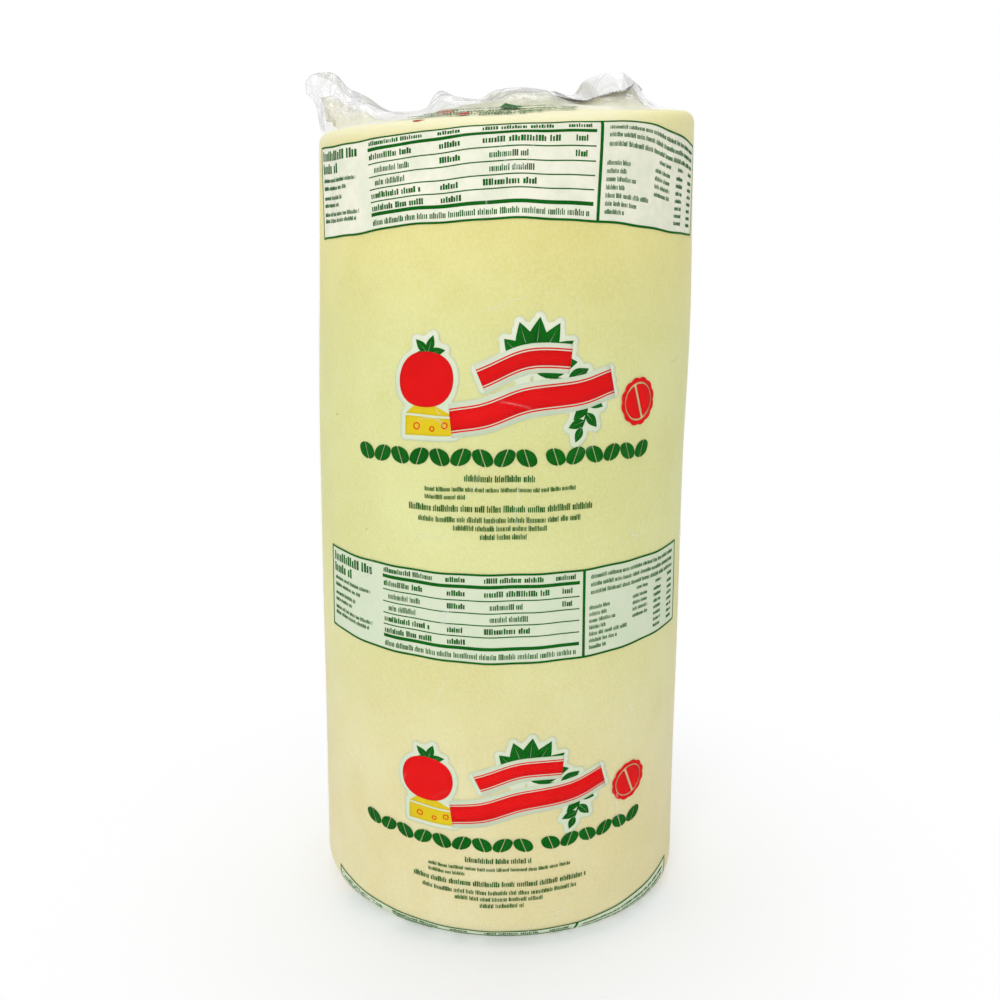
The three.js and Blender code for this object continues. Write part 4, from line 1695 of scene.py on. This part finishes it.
class PROVOLONE_OT_seam(Operator):
    """Builds the cut edge of the film past its seam, folded forwards on the right and back on the left"""

    bl_idname = "provolone.seam"
    bl_label = "Seam"

    def execute(self, context):
        settings = context.scene.provolone_film
        remove_old("film_seam")
        outer, inner, quads, edges, creases = [], [], [], [], []
        inwards, upwards = FLAP_SKIN
        for k, piece in enumerate(SEAM_FLAPS):
            side = piece["side"]
            flap, cut = seam_flap(piece["edge"], side, settings.tooth_depth, settings.tooth_pitch / MM)
            numbers = np.arange(cut.size).reshape(cut.shape) + k * cut.size
            quads.append(grid_quads(numbers[::-1] if side > 0 else numbers, False))
            outer.append(flap.reshape(-1, 3))
            inner.append((flap + np.array([0, inwards * side, upwards])).reshape(-1, 3))
            # The painted shade of each flap's cut edge.
            edges.append(piece["cut_shade"] * cut.ravel())
            creases.append(np.full(cut.size, piece["milkiness"]))
        made = link_mesh("film_seam", *closed_slab(np.vstack(outer), np.vstack(inner), np.vstack(quads)))
        edge = np.tile(np.concatenate(edges), 2)
        add_attribute(made, "loose", np.ones(len(edge)))
        add_attribute(made, "crease", np.tile(np.concatenate(creases), 2))
        add_attribute(made, "edge", edge)
        made.data.materials.append(bpy.data.objects["film"].data.materials[0])
        check_inside(made)
        add_piece(made, FILM_SLOT)
        return {"FINISHED"}


# Each ink's second colour, and how much its grain and its blotches turn it to that colour
INK_LOOKS = {
    "white": (byte_colour(206, 222, 190), 0.1, 0.6),
    "yellow": (byte_colour(196, 168, 20), 0.12, 0.3),
    "green": (byte_colour(0, 62, 4), 0.1, 0.4),
    "red": (byte_colour(205, 4, 6), 0.1, 0.35),
}
# Painted shade: the red ink turns darker near the log's top, where more light falls on it.
UPPER_RED_SHADE = byte_colour(172, 2, 6)


class PROVOLONE_OT_print(Operator):
    """Builds the print under the film, one piece for each ink"""

    bl_idname = "provolone.print"
    bl_label = "Print"

    def execute(self, context):
        settings = context.scene.provolone_print
        remove_old(*(f"print_{name}" for name in INK_DEPTHS))
        inks = print_shapes()
        # The red's colour near the top is painted shade.
        uppers = {"white": settings.upper_white, "red": UPPER_RED_SHADE}
        looks = {}
        for name, (blotch, grain, clouds) in INK_LOOKS.items():
            colour = getattr(settings, name)
            looks[name] = ink_material(f"ink_{name}", colour, grain, blotch, clouds, uppers.get(name))
        looks["outline"] = looks["white"]
        for name, depth in INK_DEPTHS.items():
            made = build_ink(f"print_{name}", inks[name], depth, looks[name])
            check_inside(made)
            add_piece(made, FILM_SLOT)
        return {"FINISHED"}


FLOOR_HEIGHT = -0.05
FLOOR_COLUMNS = 96
FLOOR_RINGS = (0.02, 0.05, 0.1, 0.2, 0.5, 1)  # shares of its radius
FLOOR_COLOUR = (0.93, 0.94, 0.965, 1)
FLOOR_BRIGHT = (0.3, 1.0)  # share of plain light near the log and far from it
FLOOR_NEAR = 0.06  # metres from the middle
FLOOR_FAR = 0.06  # share of the floor's radius
LIT_POINT = (0, 0, 0.17)
LIGHTS = {  # place, width, height and power, in metres and watts
    "front_light": ((-0.28, -1.7, 1.2), 0.9, 0.8, 11.5),
    "left_strip": ((-1.3, -0.5, 0.55), 0.25, 1.2, 0.4),
    "right_strip": ((1.3, -0.3, 0.6), 0.25, 1.2, 0.1),
    "top_light": ((0.1, 0.5, 1.6), 1.2, 0.8, 5),
}
SENSOR_WIDTH = 36  # in millimetres
NEAREST = 0.01  # what lies closer to the camera isn't drawn, in metres
GLOW_HEIGHTS = (-0.1, 0.9)  # heights on a sphere round the log between which the glow grows
GLOW = (0.45, 0.88)
GLOW_RIGHT = 0.66  # share of it that is left at the far right
PATCH_SCALE = 2.6
PATCH_NOISE = (0.42, 0.58)
PATCH_GLOW = (0.72, 1.4)  # dim and bright patches that gloss mirrors


def floor_material(radius):
    """Near-white matte floor that turns to plain white light towards its edge."""
    material, nodes, surface = new_material("floor")
    vector = object_vector(nodes)
    away = nodes.add("ShaderNodeVectorMath", {0: vector}, operation="LENGTH").outputs["Value"]
    share = nodes.remap(away, FLOOR_NEAR, radius * FLOOR_FAR, *FLOOR_BRIGHT)
    matte = nodes.add("ShaderNodeBsdfDiffuse", {"Color": FLOOR_COLOUR})
    light = nodes.add("ShaderNodeEmission", {"Color": WHITE})
    both = nodes.add("ShaderNodeMixShader", {0: share, 1: matte.outputs[0], 2: light.outputs[0]})
    nodes.put(both.outputs[0], surface)
    return material


def build_floor(radius):
    """A round flat floor of rings just under the foot, facing up."""
    turn = TURN * np.arange(FLOOR_COLUMNS) / FLOOR_COLUMNS
    reach = radius / MM * np.array(FLOOR_RINGS)[:, None]
    height = np.full((len(FLOOR_RINGS), FLOOR_COLUMNS), FLOOR_HEIGHT)
    rings = np.stack([reach * np.cos(turn), reach * np.sin(turn), height], axis=-1)
    numbers = np.arange(height.size).reshape(height.shape)
    points = np.vstack([rings.reshape(-1, 3), [(0, 0, FLOOR_HEIGHT)]])
    quads = grid_quads(numbers, True)[:, ::-1]
    floor = link_mesh("floor", points, quads, fan(numbers[0], len(points) - 1, True))
    floor.data.materials.append(floor_material(radius))


def add_light(name, place, width, height, power):
    """A rectangular soft light at a place, turned towards the middle of the log."""
    data = bpy.data.lights.new(name, "AREA")
    data.shape = "RECTANGLE"
    data.size = width
    data.size_y = height
    data.energy = power
    lamp = bpy.data.objects.new(name, data)
    bpy.context.scene.collection.objects.link(lamp)
    lamp.location = place
    lamp.rotation_euler = (Vector(LIT_POINT) - Vector(place)).to_track_quat("-Z", "Y").to_euler()


def add_camera(settings):
    """The camera, turned from looking straight down to a pitch below level, then about its own view."""
    data = bpy.data.cameras.new("camera")
    data.lens = settings.lens
    data.sensor_width = SENSOR_WIDTH
    data.clip_start = NEAREST
    camera = bpy.data.objects.new("camera", data)
    bpy.context.scene.collection.objects.link(camera)
    camera.location = settings.camera_place
    tilt = Matrix.Rotation(RIGHT_ANGLE - settings.camera_pitch, 4, "X")
    roll = Matrix.Rotation(settings.camera_roll, 4, "Z")
    camera.rotation_euler = (tilt @ roll).to_euler()
    bpy.context.scene.camera = camera


def build_world():
    """White surroundings that shine more from above and less from the right. The camera sees them
    plain white, and gloss mirrors bright and dim patches instead."""
    world = bpy.data.worlds.new("studio")
    bpy.context.scene.world = world
    world.use_nodes = True
    world.node_tree.nodes.clear()
    nodes = Nodes(world.node_tree)
    path = nodes.add("ShaderNodeLightPath")
    direction = nodes.add("ShaderNodeTexCoord").outputs["Generated"]
    glow = nodes.remap(nodes.axis(direction, "Z"), *GLOW_HEIGHTS, *GLOW)
    left_to_right = nodes.remap(nodes.axis(direction, "X"), 0.0, 1.0, 1.0, GLOW_RIGHT)
    glow = nodes.math("MULTIPLY", glow, left_to_right)
    patches = nodes.remap(nodes.noise(direction, PATCH_SCALE, detail=1.0), *PATCH_NOISE, *PATCH_GLOW)
    inputs = {0: path.outputs["Is Glossy Ray"], 2: glow, 3: patches}
    glow = nodes.add("ShaderNodeMix", inputs, data_type="FLOAT").outputs[0]
    shown = nodes.add("ShaderNodeBackground", {"Color": WHITE, "Strength": 1.0})
    lit = nodes.add("ShaderNodeBackground", {"Color": WHITE, "Strength": glow})
    inputs = {0: path.outputs["Is Camera Ray"], 1: lit.outputs[0], 2: shown.outputs[0]}
    both = nodes.add("ShaderNodeMixShader", inputs)
    nodes.add("ShaderNodeOutputWorld", {"Surface": both.outputs[0]})


class PROVOLONE_OT_stage(Operator):
    """Builds the floor, the soft lights and the camera"""

    bl_idname = "provolone.stage"
    bl_label = "Stage"

    def execute(self, context):
        settings = context.scene.provolone_stage
        remove_old("floor", "camera", *LIGHTS)
        build_floor(settings.floor_radius)
        for name, light in LIGHTS.items():
            add_light(name, *light)
        add_camera(settings)
        build_world()
        context.scene.view_settings.view_transform = "Standard"
        return {"FINISHED"}


class PROVOLONE_PT_log(Panel):
    """Lists the pieces of the log"""

    bl_idname = "PROVOLONE_PT_log"
    bl_label = "Provolone Log"
    bl_space_type = "VIEW_3D"
    bl_region_type = "UI"
    bl_category = "Provolone"

    def draw(self, context):
        for operator, group in PIECES:
            box = self.layout.box()
            box.operator(operator)
            settings = getattr(context.scene, group)
            for name in settings.__annotations__:
                box.prop(settings, name)


PIECES = (
    ("provolone.cheese", "provolone_cheese"),
    ("provolone.film", "provolone_film"),
    ("provolone.seam", "provolone_film"),
    ("provolone.print", "provolone_print"),
    ("provolone.stage", "provolone_stage"),
)
GROUPS = {
    "provolone_cheese": CheeseSettings,
    "provolone_film": FilmSettings,
    "provolone_print": PrintSettings,
    "provolone_stage": StageSettings,
}
CLASSES = (
    *GROUPS.values(),
    PROVOLONE_OT_cheese,
    PROVOLONE_OT_film,
    PROVOLONE_OT_seam,
    PROVOLONE_OT_print,
    PROVOLONE_OT_stage,
    PROVOLONE_PT_log,
)


def register():
    """Adds the settings, operators and panel to Blender."""
    for kind in CLASSES:
        bpy.utils.register_class(kind)
    for name, kind in GROUPS.items():
        setattr(bpy.types.Scene, name, PointerProperty(type=kind))


def unregister():
    """Takes them away again."""
    for name in GROUPS:
        delattr(bpy.types.Scene, name)
    for kind in reversed(CLASSES):
        bpy.utils.unregister_class(kind)


def main():
    """Builds every piece."""
    register()
    bpy.ops.provolone.cheese()
    bpy.ops.provolone.film()
    bpy.ops.provolone.seam()
    bpy.ops.provolone.print()
    bpy.ops.provolone.stage()


if __name__ == "__main__":
    main()
